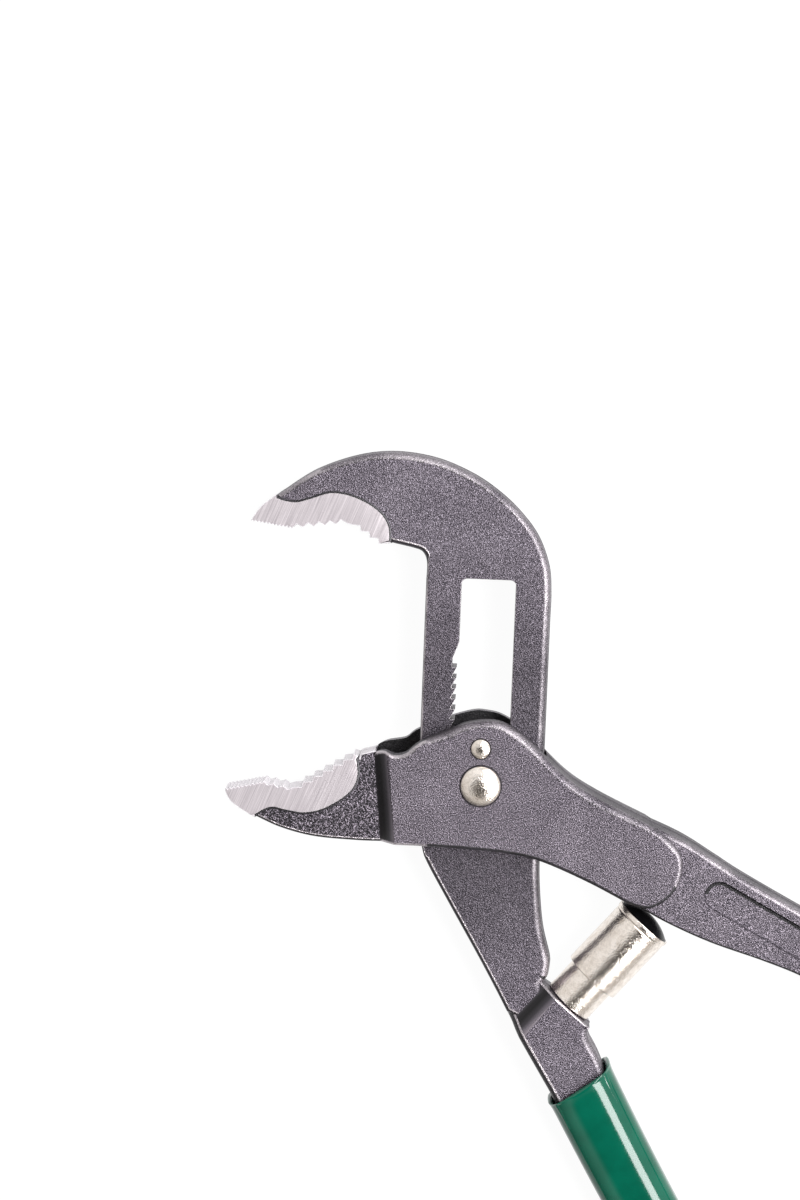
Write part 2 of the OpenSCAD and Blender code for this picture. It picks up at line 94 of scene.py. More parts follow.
class Skin(IntEnum):
    """The finishes of the two forgings, in the order of their materials."""

    FORGED = 0
    GROUND = 1
    TOOTHED = 2
    SHADED = 3
    RAMP = 4
    STEP = 5
    PITTED_AND_SHADE = 6
    SHADED_SIDE = 7
    PALE_LINE = 8


class Side(Enum):
    """The ways in plan that an edge may face."""

    SOFT = (0.86, 0.5)
    UNDER = (-0.2, -0.98)
    UPPER = (-0.3, 0.95)
    LOW_LEFT = (-0.6, -0.8)
    LEFT = (-1.0, 0.0)


class Cut(Enum):
    """How two solids are put together."""

    UNION = "UNION"
    DIFFERENCE = "DIFFERENCE"


# Curves


def smooth(points: list[Point], steps: int = 8) -> Array:
    """A curve through points: cubics whose slope at each point is half the chord of its neighbours.

    Args:
        points: what the curve passes, in order.
        steps: stretches between two neighbours.
    Returns:
        The curve's points, one row each.
    """
    p = np.asarray(points, float)[:, None]
    a, b = np.concatenate([p[:1], p[:-2]]), p[:-1]
    c, d = p[1:], np.concatenate([p[2:], p[-1:]])
    t = (np.arange(steps) / steps)[:, None]
    curve = 0.5 * (2 * b + (c - a) * t + (2 * a - 5 * b + 4 * c - d) * t**2
                   + (3 * b - a - 3 * c + d) * t**3)
    return np.vstack([curve.reshape(-1, 2), p[-1]])


def tooth_row(first: Point, last: Point, count: int, depth: float, share: float) -> Array:
    """A row of teeth: tips evenly along a line, and after each a valley, set square to it by depth.

    Args:
        first: tip of the first tooth.
        last: where the tip after the last valley lies; it isn't part of the row.
        count: number of teeth.
        depth: depth of the valleys, to the left of the row if positive.
        share: how far along its pitch each valley lies.
    Returns:
        Tips and valleys in turn.
    """
    a, b = np.asarray(first, float), np.asarray(last, float)
    step = (b - a) / count
    side = np.array([-step[1], step[0]]) / np.linalg.norm(step)
    i = np.arange(count)[:, None]
    return np.stack([a + step * i, a + step * (i + share) + side * depth], axis=1).reshape(-1, 2)


def arc(centre: Point, radius: float, start: float, end: float, steps: int = 6) -> Array:
    """Points on a circle from one angle to another, in degrees."""
    a = np.radians(np.linspace(start, end, steps + 1))
    return np.asarray(centre) + radius * np.stack([np.cos(a), np.sin(a)], axis=1)


def heading(turn: float) -> Array:
    """The unit vector in plan that an angle in degrees points along."""
    return np.array([math.cos(math.radians(turn)), math.sin(math.radians(turn))])


def turned(points: Array, turn: float) -> Array:
    """Turns points about the pivot's axis.

    Args:
        points: a point a row; a height, if they have one, stays as it is.
        turn: the angle in degrees, anticlockwise.
    Returns:
        The turned points.
    """
    c, s = heading(turn)
    out = points.copy()
    out[:, 0], out[:, 1] = points[:, 0] * c - points[:, 1] * s, points[:, 0] * s + points[:, 1] * c
    return out


def rectangle(width: float, length: float, turn: float) -> Array:
    """The corners of a rectangle about the pivot, turned by an angle in degrees."""
    x, y = width / 2, length / 2
    return turned(np.array([[-x, -y], [x, -y], [x, y], [-x, y]]), turn)


def resampled(loop: Array, longest: float) -> Array:
    """Adds evenly spaced points to the long edges of a closed loop, keeping its corners.

    Args:
        loop: the loop's points, without the first again at the end.
        longest: the longest edge that may stay.
    Returns:
        The loop with more points.
    """
    edge = np.roll(loop, -1, axis=0) - loop
    parts = np.maximum(np.ceil(np.linalg.norm(edge, axis=1) / longest), 1).astype(int)
    which = np.repeat(np.arange(len(loop)), parts)
    inner = np.arange(parts.sum()) - np.repeat(np.cumsum(parts) - parts, parts)
    return loop[which] + edge[which] * (inner / parts[which])[:, None]


def rounded(profile: list[Point], radius: float, steps: int = 4) -> Array:
    """Rounds the inner corners of a profile: each becomes a curve that starts and ends radius from the
    corner and is the parabola its two edges touch.

    Args:
        profile: the corners.
        radius: distance from a corner at which its curve starts, at most 0.45 of an edge.
        steps: stretches on each curve.
    Returns:
        The rounded profile, with its first and last points kept.
    """
    p = np.asarray(profile, float)
    corner = p[1:-1]
    back, on = p[:-2] - corner, p[2:] - corner
    back_length, on_length = (np.linalg.norm(v, axis=1)[:, None] for v in (back, on))
    reach = np.minimum(radius, 0.45 * np.minimum(back_length, on_length))
    start, end = corner + back / back_length * reach, corner + on / on_length * reach
    t = np.linspace(0, 1, steps + 1)[None, :, None]
    curve = start[:, None] * (1 - t) ** 2 + 2 * corner[:, None] * t * (1 - t) + end[:, None] * t**2
    return np.vstack([p[:1], curve.reshape(-1, 2), p[-1:]])


def inside(points: Array, loop: Array) -> Array:
    """Whether points lie inside a closed loop: the ray to their right crosses it an odd number of times.

    Args:
        points: the points to test.
        loop: the loop.
    Returns:
        Yes or no for each point.
    """
    a, b = loop[None], np.roll(loop, -1, axis=0)[None]
    x, y = points[:, 0, None], points[:, 1, None]
    spans = (a[..., 1] > y) != (b[..., 1] > y)
    rise = np.where(spans, b[..., 1] - a[..., 1], 1)
    at = a[..., 0] + (y - a[..., 1]) * (b[..., 0] - a[..., 0]) / rise
    return (spans & (x < at)).sum(axis=1) % 2 == 1


def inward(loop: Array) -> Array:
    """The steps that move a closed loop's edges in by one: the left normal of the mean heading at each
    point, lengthened at corners by one over the cosine of half the turn.

    Args:
        loop: the loop, with its inside on the left.
    Returns:
        The step at each point.
    """
    ahead = np.roll(loop, -1, axis=0) - loop
    ahead /= np.linalg.norm(ahead, axis=1)[:, None]
    mean = ahead + np.roll(ahead, 1, axis=0)
    size = np.maximum(np.linalg.norm(mean, axis=1), 1e-6)[:, None]
    mean /= size
    return np.stack([-mean[:, 1], mean[:, 0]], axis=1) * np.minimum(2 / size, 1.4)


# Edges of the forgings


def facing(loop: Array, side: Side) -> Array:
    """How far an outline faces a direction at each point: the cosine between them.

    Args:
        loop: the outline, with the metal on its left.
        side: the direction.
    Returns:
        From 1 where it faces that way to -1 where it faces away.
    """
    step = inward(loop)
    return -(step @ np.asarray(side.value)) / np.linalg.norm(step, axis=1)


def softened(loop: Array, plain: float, broad: float) -> Array:
    """Rounding of a forging's edge: broad where it faces up and right, which the dies left soft, and
    plain elsewhere.

    Args:
        loop: the outline, with the metal on its left.
        plain: radius of the other edges.
        broad: radius of the soft edges.
    Returns:
        The radius at each point.
    """
    return np.interp(facing(loop, Side.SOFT), [-0.1, 0.5], [plain, broad])


def unlit(loop: Array) -> Array:
    """Finish of a forging's edge: painted shade where it faces down, and plain elsewhere."""
    return np.where(facing(loop, Side.UNDER) > 0.35, Skin.SHADED, Skin.FORGED)


def even(half: float) -> Field:
    """A half thickness that is the same everywhere."""
    return lambda p: np.full(p.shape[:-1], half)


def half_along(turn: float, places: list[float], halves: list[float]) -> Field:
    """A half thickness that changes along one direction, straight between the places.

    Args:
        turn: heading of the direction, in degrees.
        places: distances along it.
        halves: half thickness at each.
    Returns:
        A function of plan points.
    """
    return lambda p: np.interp(p @ heading(turn), places, halves)


def before(turn: float, along: float, skin: Skin) -> Field:
    """A face finish that starts with one skin and is plain beyond a distance along a heading."""
    return lambda p: np.where(p @ heading(turn) < along, skin, Skin.FORGED)


def line_across(turn: float, along: float) -> tuple[Array, Array]:
    """Two points on the line square to a heading, at a distance along it from the pivot."""
    at = along * heading(turn)
    return at, at + 10 * heading(turn + 90)


# Surfaces


@dataclass
class Shell:
    """A closed surface in mm: points, faces of four and of three, wear by point, finish by face."""

    points: Array
    quads: Array
    tris: Array
    wear: Array
    finish: Array

    def flipped(self) -> "Shell":
        """The same surface with its faces turned to the other side."""
        return replace(self, quads=self.quads[:, ::-1], tris=self.tris[:, ::-1])

    def mesh(self, name: str) -> bpy.types.Mesh:
        """Makes a mesh in metres, with the wear as a point attribute.

        Args:
            name: the mesh's name.
        Returns:
            The mesh, without materials.
        """
        made = bpy.data.meshes.new(name)
        made.from_pydata(self.points * MM, [], self.quads.tolist() + self.tris.tolist())
        wear = made.attributes.new("wear", "FLOAT", "POINT")
        wear.data.foreach_set("value", self.wear.astype(np.float32))
        return made


def ring_quads(rings: int, sides: int, start: int = 0) -> Array:
    """Faces between neighbouring closed rings: each joins two points of a ring to the two above them.

    Args:
        rings: number of rings.
        sides: points on each ring.
        start: number of the first point.
    Returns:
        Four point numbers for each face.
    """
    k, i = np.meshgrid(start + np.arange(rings - 1) * sides, np.arange(sides), indexing="ij")
    j = (i + 1) % sides
    return np.stack([k + i, k + j, k + sides + j, k + sides + i], axis=-1).reshape(-1, 4)


def capped(rings: Array, ends: Array | None = None, finish: Array | int = 0) -> Shell:
    """A stack of closed rings, with a fan of triangles over each end.

    Args:
        rings: points by ring and place, anticlockwise as seen from the last ring's side.
        ends: middles of the two fans; the means of the first and the last ring if not given.
        finish: numbers of the finishes of the faces between the rings; the fans have the first finish.
    Returns:
        The closed surface.
    """
    rows, n = rings.shape[:2]
    middles = rings[[0, -1]].mean(axis=1) if ends is None else ends
    points = np.concatenate([rings.reshape(-1, 3), middles])
    i = np.arange(n)
    j, last = (i + 1) % n, (rows - 1) * n
    foot, top = np.full(n, rows * n), np.full(n, rows * n + 1)
    tris = np.concatenate([np.stack([foot, j, i], axis=1), np.stack([top, last + i, last + j], axis=1)])
    quads = ring_quads(rows, n)
    finishes = np.concatenate([np.broadcast_to(finish, len(quads)), np.zeros(len(tris))])
    return Shell(points, quads, tris, np.zeros(len(points)), finishes)


def turned_solid(profile: Array, place: Matrix, sides: int = 72) -> Shell:
    """A turned piece: a profile of radius and height carried round an axis.

    Args:
        profile: from the foot of the axis round the outside to its top; the ends lie on the axis.
        place: puts the axis, drawn up +Z, in the tool's frame.
        sides: steps round the axis.
    Returns:
        The closed surface.
    """
    a = np.linspace(0, 2 * math.pi, sides, endpoint=False)
    radius, height = profile[1:-1, :1], profile[1:-1, 1:]
    rings = np.stack([radius * np.cos(a), radius * np.sin(a), np.repeat(height, sides, axis=1)], axis=-1)
    shell = capped(rings, np.array([[0, 0, profile[0, 1]], [0, 0, profile[-1, 1]]]))
    matrix = np.array(place)
    return replace(shell, points=shell.points @ matrix[:3, :3].T + matrix[:3, 3])


def prism(loop: Array, height: float, middle: float = MIDDLE) -> Shell:
    """A cutting block: its outline carried straight up, its ends fans from their first corner. The faces
    that it cuts are painted shade, flat black.

    Args:
        loop: the outline, convex.
        height: how tall the block is.
        middle: height of its middle.
    Returns:
        The closed surface.
    """
    n = len(loop)
    low, high = np.full(n, middle - height / 2), np.full(n, middle + height / 2)
    i = np.arange(1, n - 1)
    fan = np.stack([np.zeros(n - 2, int), i, i + 1], axis=1)
    quads, tris = ring_quads(2, n), np.concatenate([fan[:, ::-1], fan + n])
    return Shell(np.concatenate([np.c_[loop, low], np.c_[loop, high]]), quads, tris, np.zeros(2 * n),
                 np.full(len(quads) + len(tris), Skin.SHADED))


@dataclass
class ForgedPlate:
    """A forging's flat part: an edge profile carried round an outline, closed by faces above and below.

    The profile rises from a raised parting band at the middle, leans in by the draft and turns over in a
    quarter circle. The half thickness may vary over the plate; creases join the outline's points where
    it bends. A plate with a shade line has a dark line of painted shade along the inside of the edges
    that face up, and a plate with a reflection line has a pale line of painted reflection along the
    inside of those that face down and left.
    """

    outline: Array
    half: Field
    radius: float | Array = 1.0
    holes: list[Array] = field(default_factory=list)
    hole_radius: float = 0.12
    draft: float = 0.15
    band: float = 0.12
    creases: list[tuple[Array, Array]] = field(default_factory=list)
    rounding: int = 5
    face_finish: int | Field = Skin.FORGED
    side_finish: int | Array = Skin.FORGED
    edge_finish: Array | None = None
    shade_line: bool = False
    reflection_line: bool = False
    side_wear: float = 0.12

    # Heights above the middle plane of the band's middle, its edge and the foot of its step
    BAND_RISES = (0.0, 0.45, 0.62)
    # How much more the band is worn than the sides
    BAND_WEAR = 0.2
    # Rounder edges than this count as broad
    BROAD = 1.25
    # Wear of a broad edge, which also paints a highlight along its inside, by the degrees that it has
    # turned from the side to the face
    BROAD_TURNS = (0, 18, 54, 72, 90)
    BROAD_WEAR_AND_SHEEN = (0.2, 0.26, 0.3, 0.46, 0.0)

    def rings(self, loop: Array, radius: Array, trim: float) -> tuple[Array, Array]:
        """The edge profile round a loop: in by band + draft + r (1 - cos a), up by half - r + r sin a.

        A narrow edge is worn most in the middle of its rounding, by sin 2a. A broad one is worn along
        its inside, next to the face, where the pale wear is also a painted highlight.

        Args:
            loop: a closed loop with the metal on its left.
            radius: rounding at each point.
            trim: share of the band and the draft that this loop has.
        Returns:
            Points by ring and place, from the lower face to the upper, and the wear of each.
        """
        same = np.ones(len(loop))
        turn = np.linspace(0, math.pi / 2, self.rounding + 1)[:, None]
        over = (self.band + self.draft) * trim + radius * (1 - np.cos(turn))
        inset = np.concatenate([np.outer((0.0, 0.0, self.band * trim), same), over])
        plan = loop + inward(loop) * inset[:, :, None]
        bands = len(self.BAND_RISES)
        rise = np.concatenate([np.outer(self.BAND_RISES, same),
                               self.half(plan[bands:]) - radius + radius * np.sin(turn)])
        upper = np.concatenate([plan, rise[:, :, None]], axis=2)
        narrow = np.maximum(np.sin(2 * turn), np.where(turn == 0, self.side_wear, 0.0))
        broad = np.interp(np.degrees(turn), self.BROAD_TURNS, self.BROAD_WEAR_AND_SHEEN)
        side = np.array([self.BAND_WEAR, self.BAND_WEAR, 0.0]) + self.side_wear
        wear = np.concatenate([np.outer(side, same), np.where(radius > self.BROAD, broad, narrow)])
        rings = np.concatenate([upper[:0:-1] * np.array([1, 1, -1]), upper])
        rings[:, :, 2] += MIDDLE
        return rings, np.concatenate([wear[:0:-1], wear])

    def with_creases(self) -> tuple[Array, Array, Array, list[tuple[int, int]]]:
        """Puts points into the outline where the creases cross it, so that the faces can bend there.

        Returns:
            The outline, the radius and the edge's finish at each point, and the pairs of points that the
            creases join.
        """
        loop = self.outline
        edge = np.zeros(len(loop), int) if self.edge_finish is None else self.edge_finish
        radius = np.broadcast_to(np.asarray(self.radius, float), (len(loop),)).copy()
        marks = np.zeros(len(loop), int)
        for number, (a, b) in enumerate(self.creases, start=1):
            across = np.array([-(b - a)[1], (b - a)[0]])
            side = (loop - a) @ across
            after = np.roll(side, -1)
            cross = np.flatnonzero((side > 0) != (after > 0))
            share = (side[cross] / (side[cross] - after[cross]))[:, None]
            new = loop[cross] + (np.roll(loop, -1, axis=0)[cross] - loop[cross]) * share
            loop = np.insert(loop, cross + 1, new, axis=0)
            radius = np.insert(radius, cross + 1, radius[cross])
            edge = np.insert(edge, cross + 1, edge[cross])
            marks = np.insert(marks, cross + 1, number)
        pairs = [tuple(np.flatnonzero(marks == n)[[0, -1]]) for n in range(1, len(self.creases) + 1)]
        return loop, radius, edge, pairs

    def edge_skins(self, loop: Array, edge: Array, rows: int) -> Array:
        """Finishes of the faces round the outline.

        Args:
            loop: the outline.
            edge: finish of the rounding at each point.
            rows: number of rows of faces, from the lower face to the upper.
        Returns:
            The finishes' numbers by row and place.
        """
        skins = np.tile(np.broadcast_to(self.side_finish, len(loop)), (rows, 1))
        if self.edge_finish is not None:
            skins[:self.rounding] = skins[-self.rounding:] = edge
        # Painted shade: a dark line inside the edges that face up
        if self.shade_line:
            skins[0] = skins[-1] = np.where(facing(loop, Side.UPPER) > 0.3, Skin.PITTED_AND_SHADE, skins[-1])
        # Painted reflection: a pale line inside the edges that face down and left
        if self.reflection_line:
            skins[0] = skins[-1] = np.where(facing(loop, Side.LOW_LEFT) > 0.75, Skin.PALE_LINE, skins[-1])
        return skins

    @staticmethod
    def face(loops: list[Array], pairs: list[tuple[int, int]]) -> tuple[Array, Array]:
        """Triangulates a face, inside its outline and outside its holes.

        Args:
            loops: the outline and the holes.
            pairs: numbers of the points that the creases join.
        Returns:
            Three point numbers for each triangle, and the triangles' middles.
        """
        flat = np.concatenate(loops)
        edges, start = [], 0
        for loop in loops:
            i = np.arange(len(loop))
            edges += (start + np.stack([i, np.roll(i, -1)], axis=1)).tolist()
            start += len(loop)
        found = delaunay_2d_cdt(flat.tolist(), edges + pairs, [], 1, 1e-5)
        origin = np.array([o[0] if o else -1 for o in found[3]])
        tri = origin[np.array([t for t in found[2] if len(t) == 3])]
        tri = tri[(tri >= 0).all(axis=1)]
        middle = flat[tri].mean(axis=1)
        keep = inside(middle, loops[0])
        for hole in loops[1:]:
            keep &= ~inside(middle, hole)
        return tri[keep], middle[keep]

    def build(self) -> Shell:
        """Makes the closed surface: the profile round each loop, and triangles over both faces.

        Returns:
            The surface.
        """
        outline, radius, edge, pairs = self.with_creases()
        loops = [outline, *self.holes]
        points, wear, quads, finish, tops, bottoms = [], [], [], [], [], []
        count = 0
        for loop in loops:
            outer, n = loop is outline, len(loop)
            turn_by = radius if outer else np.full(n, self.hole_radius)
            rings, worn = self.rings(loop, turn_by, float(outer))
            rows = len(rings)
            points.append(rings.reshape(-1, 3))
            wear.append(worn.ravel())
            quads.append(ring_quads(rows, n, count))
            skins = self.edge_skins(loop, edge, rows - 1) if outer else np.zeros((rows - 1, n), int)
            finish.append(skins.ravel())
            bottoms.append(count + np.arange(n))
            tops.append(count + (rows - 1) * n + np.arange(n))
            count += rows * n
        tri, middle = self.face(loops, pairs)
        tris = np.concatenate([np.concatenate(tops)[tri], np.concatenate(bottoms)[tri][:, ::-1]])
        skin = self.face_finish
        faces = skin(middle) if callable(skin) else np.full(len(tri), skin)
        return Shell(np.concatenate(points), np.concatenate(quads), tris, np.concatenate(wear),
                     np.concatenate([*finish, faces, faces]))


def ground_end(loop: Array, first: int, last: int) -> Shell:
    """A jaw's ground end: a plate a little thicker than the forging, with sharp bright edges, and a
    rounded seam in painted shade where it meets the forging.

    Args:
        loop: its outline.
        first: number of the seam's first point.
        last: number of the first point after the seam.
    Returns:
        The closed surface.
    """
    i = np.arange(len(loop))
    seam = (i >= first) & (i < last)
    return ForgedPlate(loop, even(GROUND_HALF), np.where(seam, 0.7, 0.15), draft=0.0, band=0.0,
                       rounding=2, face_finish=Skin.GROUND, side_wear=0.4,
                       side_finish=np.where(seam, Skin.SHADED, Skin.TOOTHED)).build()


# Finishes


def linear(code: str) -> tuple[float, float, float, float]:
    """Turns an sRGB hex colour into the linear values that shaders take.

    Args:
        code: a hash and six hex digits.
    Returns:
        Red, green, blue and full opacity.
    """
    c = np.array([int(code[i:i + 2], 16) for i in (1, 3, 5)]) / 255
    c = np.where(c <= 0.04045, c / 12.92, ((c + 0.055) / 1.055) ** 2.4)
    return float(c[0]), float(c[1]), float(c[2]), 1.0


def empty_tree(owner: bpy.types.Material | bpy.types.World) -> bpy.types.NodeTree:
    """Gives a material or a world an empty node tree.

    Args:
        owner: the material or world.
    Returns:
        The tree.
    """
    owner.use_nodes = True
    owner.node_tree.nodes.clear()
    return owner.node_tree


def add(tree: bpy.types.NodeTree, kind: str, inputs: dict[str | int, Any] | None = None,
        out: str | int = 0, stops: tuple[tuple[float, str], ...] = (),
        **settings: Any) -> bpy.types.NodeSocket | None:
    """Adds a node, sets its settings, and gives its inputs values or links.

    Args:
        tree: the node tree.
        kind: the node's type name, without the prefix that all shader nodes have.
        inputs: by input name or number, a value or another node's output.
        out: name or number of the output that is wanted.
        stops: places and sRGB codes of a colour ramp.
        settings: properties of the node.
    Returns:
        That output, or None if the node has no outputs.
    """
    node = tree.nodes.new("ShaderNode" + kind)
    for name, value in settings.items():
        setattr(node, name, value)
    for name, value in (inputs or {}).items():
        if isinstance(value, bpy.types.NodeSocket):
            tree.links.new(value, node.inputs[name])
        else:
            node.inputs[name].default_value = value
    for number, (place, code) in enumerate(stops):
        elements = node.color_ramp.elements
        element = elements[number] if number < 2 else elements.new(place)
        element.position, element.color = place, linear(code)
    return node.outputs[out] if len(node.outputs) else None


def grain(millimetres: float) -> float:
    """The noise scale at which one grain is that wide, for coordinates in metres."""
    return 1 / (millimetres * MM)


@dataclass(frozen=True)
class Finish:
    """A surface finish: its name and how its material is made."""

    name: str

    @cache
    def material(self) -> bpy.types.Material:
        """Makes the material once: one shader, with the inputs that the finish gives it.

        Returns:
            The material.
        """
        made = bpy.data.materials.new(self.name)
        tree = empty_tree(made)
        shader = add(tree, "BsdfPrincipled", self.inputs(tree, add(tree, "TexCoord", out="Object")))
        add(tree, "OutputMaterial", {"Surface": shader})
        return made

    def inputs(self, tree: bpy.types.NodeTree, place: bpy.types.NodeSocket) -> dict[str, Any]:
        """Makes the patterns.

        Args:
            tree: the material's node tree.
            place: the point on the piece, in metres.
        Returns:
            The shader's inputs by name.
        """
        raise NotImplementedError


@dataclass(frozen=True)
class PhosphatedForging(Finish):
    """Forged tool steel, shot blasted and black phosphated: a grainy, satin grey with a purple cast,
    paler where handling has polished the edges, and darker round the pivot by a share of painted
    shade."""

    dark: str = "#2C2930"
    mean: str = "#58525A"
    pale: str = "#8E8690"
    worn: str = "#CBC4C8"
    grain_mm: float = 0.27
    blotch_mm: float = 12.0
    pit_mm: float = 0.3
    roughness: float = 0.36
    metallic: float = 0.75
    pivot_shade: float = 0.0
    pivot_shade_mm: tuple[float, float] = (30.0, 60.0)

    def inputs(self, tree: bpy.types.NodeTree, place: bpy.types.NodeSocket) -> dict[str, Any]:
        """Colour from two sizes of noise, edges paled in patches by their wear, and a pitted bump.

        Args:
            tree: the material's node tree.
            place: the point on the piece, in metres.
        Returns:
            The shader's inputs by name.
        """
        fine = add(tree, "TexNoise", {"Vector": place, "Scale": grain(self.grain_mm), "Detail": 1.5,
                                      "Roughness": 0.6})
        broad = add(tree, "TexNoise", {"Vector": place, "Scale": grain(self.blotch_mm), "Detail": 3.0})
        spread = add(tree, "Math", {0: broad, 1: 0.12, 2: -0.06}, operation="MULTIPLY_ADD")
        level = add(tree, "Math", {0: fine, 1: spread}, operation="ADD")
        colour = add(tree, "ValToRGB", {"Fac": level},
                     stops=((0.36, self.dark), (0.51, self.mean), (0.67, self.pale)))
        # Painted shade: darker towards the pivot, where the box shades the arm
        if self.pivot_shade:
            far = add(tree, "VectorMath", {0: place}, "Value", operation="LENGTH")
            near, unshaded = self.pivot_shade_mm
            left = add(tree, "MapRange", {"Value": far, "From Min": near * MM, "From Max": unshaded * MM,
                                          "To Min": 1 - self.pivot_shade, "To Max": 1.0})
            colour = add(tree, "VectorMath", {0: colour, "Scale": left}, operation="SCALE")
        worn = add(tree, "Attribute", out="Fac", attribute_name="wear")
        mottle = add(tree, "Math", {0: broad, 1: 2.6, 2: fine}, operation="MULTIPLY_ADD")
        patchy = add(tree, "Math", {0: mottle, 1: 1.2}, operation="SUBTRACT", use_clamp=True)
        share = add(tree, "Math", {0: worn, 1: patchy}, operation="MULTIPLY", use_clamp=True)
        relief = add(tree, "Math", {0: 1.0, 1: worn}, operation="SUBTRACT", use_clamp=True)
        return {
            "Base Color": add(tree, "Mix", {"Factor": share, "A": colour, "B": linear(self.worn)},
                              "Result", data_type="RGBA"),
            "Roughness": add(tree, "Math", {0: fine, 1: 0.24, 2: self.roughness - 0.12},
                             operation="MULTIPLY_ADD"),
            "Normal": add(tree, "Bump", {"Height": level, "Strength": relief,
                                         "Distance": self.pit_mm * MM}),
            "Metallic": self.metallic}


@dataclass(frozen=True)
class ShadedRamp(Finish):
    """A forged ramp in a corner: smooth black scale in painted shade, deepest low in the ramp and greyer
    towards its crest, which is worn pale."""

    turn: float = 0.0
    foot: float = 0.0
    crest: float = 1.0

    def inputs(self, tree: bpy.types.NodeTree, place: bpy.types.NodeSocket) -> dict[str, Any]:
        """Painted shade by the distance along the ramp, from its foot to its crest.

        Args:
            tree: the material's node tree.
            place: the point on the piece, in metres.
        Returns:
            The shader's inputs by name.
        """
        along = add(tree, "VectorMath", {0: place, 1: (*heading(self.turn), 0.0)}, "Value",
                    operation="DOT_PRODUCT")
        share = add(tree, "MapRange", {"Value": along, "From Min": self.foot * MM,
                                       "From Max": self.crest * MM})
        stops = ((0.0, "#38353A"), (1.0, "#6E676E"), (0.14, "#1E1C1F"), (0.4, "#131214"),
                 (0.7, "#38353A"), (0.92, "#6A646C"))
        return {"Base Color": add(tree, "ValToRGB", {"Fac": share}, stops=stops), "Roughness": 0.5,
                "Metallic": 0.35}


@dataclass(frozen=True)
class GroundSteel(Finish):
    """Tool steel left bare by a grinding wheel: bright, with parallel scratches that spread its
    reflections. They are drawn wider than real ones so that they show."""

    dark: str = "#9A9398"
    mean: str = "#B2ABAF"
    pale: str = "#CAC3C7"
    scratch_mm: float = 0.16
    length_mm: float = 14.0
    depth_mm: float = 0.03
    slant: float = 66.0

    def inputs(self, tree: bpy.types.NodeTree, place: bpy.types.NodeSocket) -> dict[str, Any]:
        """Noise drawn out along the grinding direction gives colour, roughness and bump.

        Args:
            tree: the material's node tree.
            place: the point on the piece, in metres.
        Returns:
            The shader's inputs by name.
        """
        aligned = add(tree, "Mapping", {"Vector": place, "Rotation": (0, 0, math.radians(-self.slant))})
        scale = (grain(self.length_mm), grain(self.scratch_mm), grain(self.scratch_mm))
        drawn = add(tree, "Mapping", {"Vector": aligned, "Scale": scale})
        lines = add(tree, "TexNoise", {"Vector": drawn, "Scale": 1.0, "Detail": 4.0, "Roughness": 0.65})
        return {
            "Base Color": add(tree, "ValToRGB", {"Fac": lines},
                              stops=((0.3, self.dark), (0.5, self.mean), (0.7, self.pale))),
            "Roughness": add(tree, "Math", {0: lines, 1: 0.3, 2: 0.22}, operation="MULTIPLY_ADD"),
            "Normal": add(tree, "Bump", {"Height": lines, "Strength": 0.3,
                                         "Distance": self.depth_mm * MM}),
            "Metallic": 0.3}


@dataclass(frozen=True)
class PlatedSteel(Finish):
    """Turned or pressed steel, plated or burnished: smooth, with faint waves and a few dull spots."""

    tint: str = "#F8F0E8"
    shade: str = "#E0D5CA"
    wave_mm: float = 1.6
    speck_mm: float = 0.35
    depth_mm: float = 0.1
    roughness: float = 0.12
    metallic: float = 1.0

    def inputs(self, tree: bpy.types.NodeTree, place: bpy.types.NodeSocket) -> dict[str, Any]:
        """Slow noise varies tint and roughness and bends the reflections; fine noise breaks them up.

        Args:
            tree: the material's node tree.
            place: the point on the piece, in metres.
        Returns:
            The shader's inputs by name.
        """
        waves = add(tree, "TexNoise", {"Vector": place, "Scale": grain(self.wave_mm), "Detail": 6.0,
                                       "Roughness": 0.62})
        specks = add(tree, "TexNoise", {"Vector": place, "Scale": grain(self.speck_mm), "Detail": 2.0})
        bend = add(tree, "Bump", {"Height": waves, "Strength": 0.3, "Distance": self.depth_mm * MM})
        return {
            "Base Color": add(tree, "ValToRGB", {"Fac": waves},
                              stops=((0.3, self.shade), (0.6, self.tint))),
            "Roughness": add(tree, "Math", {0: waves, 1: 0.14, 2: self.roughness - 0.05},
                             operation="MULTIPLY_ADD"),
            "Normal": add(tree, "Bump", {"Height": specks, "Strength": 0.8, "Normal": bend,
                                         "Distance": self.depth_mm * MM}),
            "Metallic": self.metallic}


@dataclass(frozen=True)
class DippedVinyl(Finish):
    """PVC plastisol that the handle was dipped in: a thick gloss with soft waves and dust specks."""

    deep: str = "#004837"
    tint: str = "#015441"
    wave_mm: float = 7.0
    fleck_mm: float = 0.6
    depth_mm: float = 0.25

    def inputs(self, tree: bpy.types.NodeTree, place: bpy.types.NodeSocket) -> dict[str, Any]:
        """Slow noise varies the green and bends the gloss; fine noise roughens it a little.

        Args:
            tree: the material's node tree.
            place: the point on the piece, in metres.
        Returns:
            The shader's inputs by name.
        """
        waves = add(tree, "TexNoise", {"Vector": place, "Scale": grain(self.wave_mm), "Detail": 2.0})
        flecks = add(tree, "TexNoise", {"Vector": place, "Scale": grain(self.fleck_mm), "Detail": 2.0})
        return {
            "Base Color": add(tree, "ValToRGB", {"Fac": waves},
                              stops=((0.3, self.deep), (0.7, self.tint))),
            "Roughness": add(tree, "Math", {0: flecks, 1: 0.1, 2: 0.06}, operation="MULTIPLY_ADD"),
            "Normal": add(tree, "Bump", {"Height": waves, "Strength": 0.15,
                                         "Distance": self.depth_mm * MM}),
            "IOR": 1.5}


# The forgings' faces: a sparkling purple grey
FORGED = PhosphatedForging("black_phosphated_forging")
# The arm: quieter in its grain, and darker towards the pivot by painted shade under the box
SHADED_ARM = PhosphatedForging("pivot_shaded_arm_forging", dark="#36323A", pale="#807983", pivot_shade=0.42)
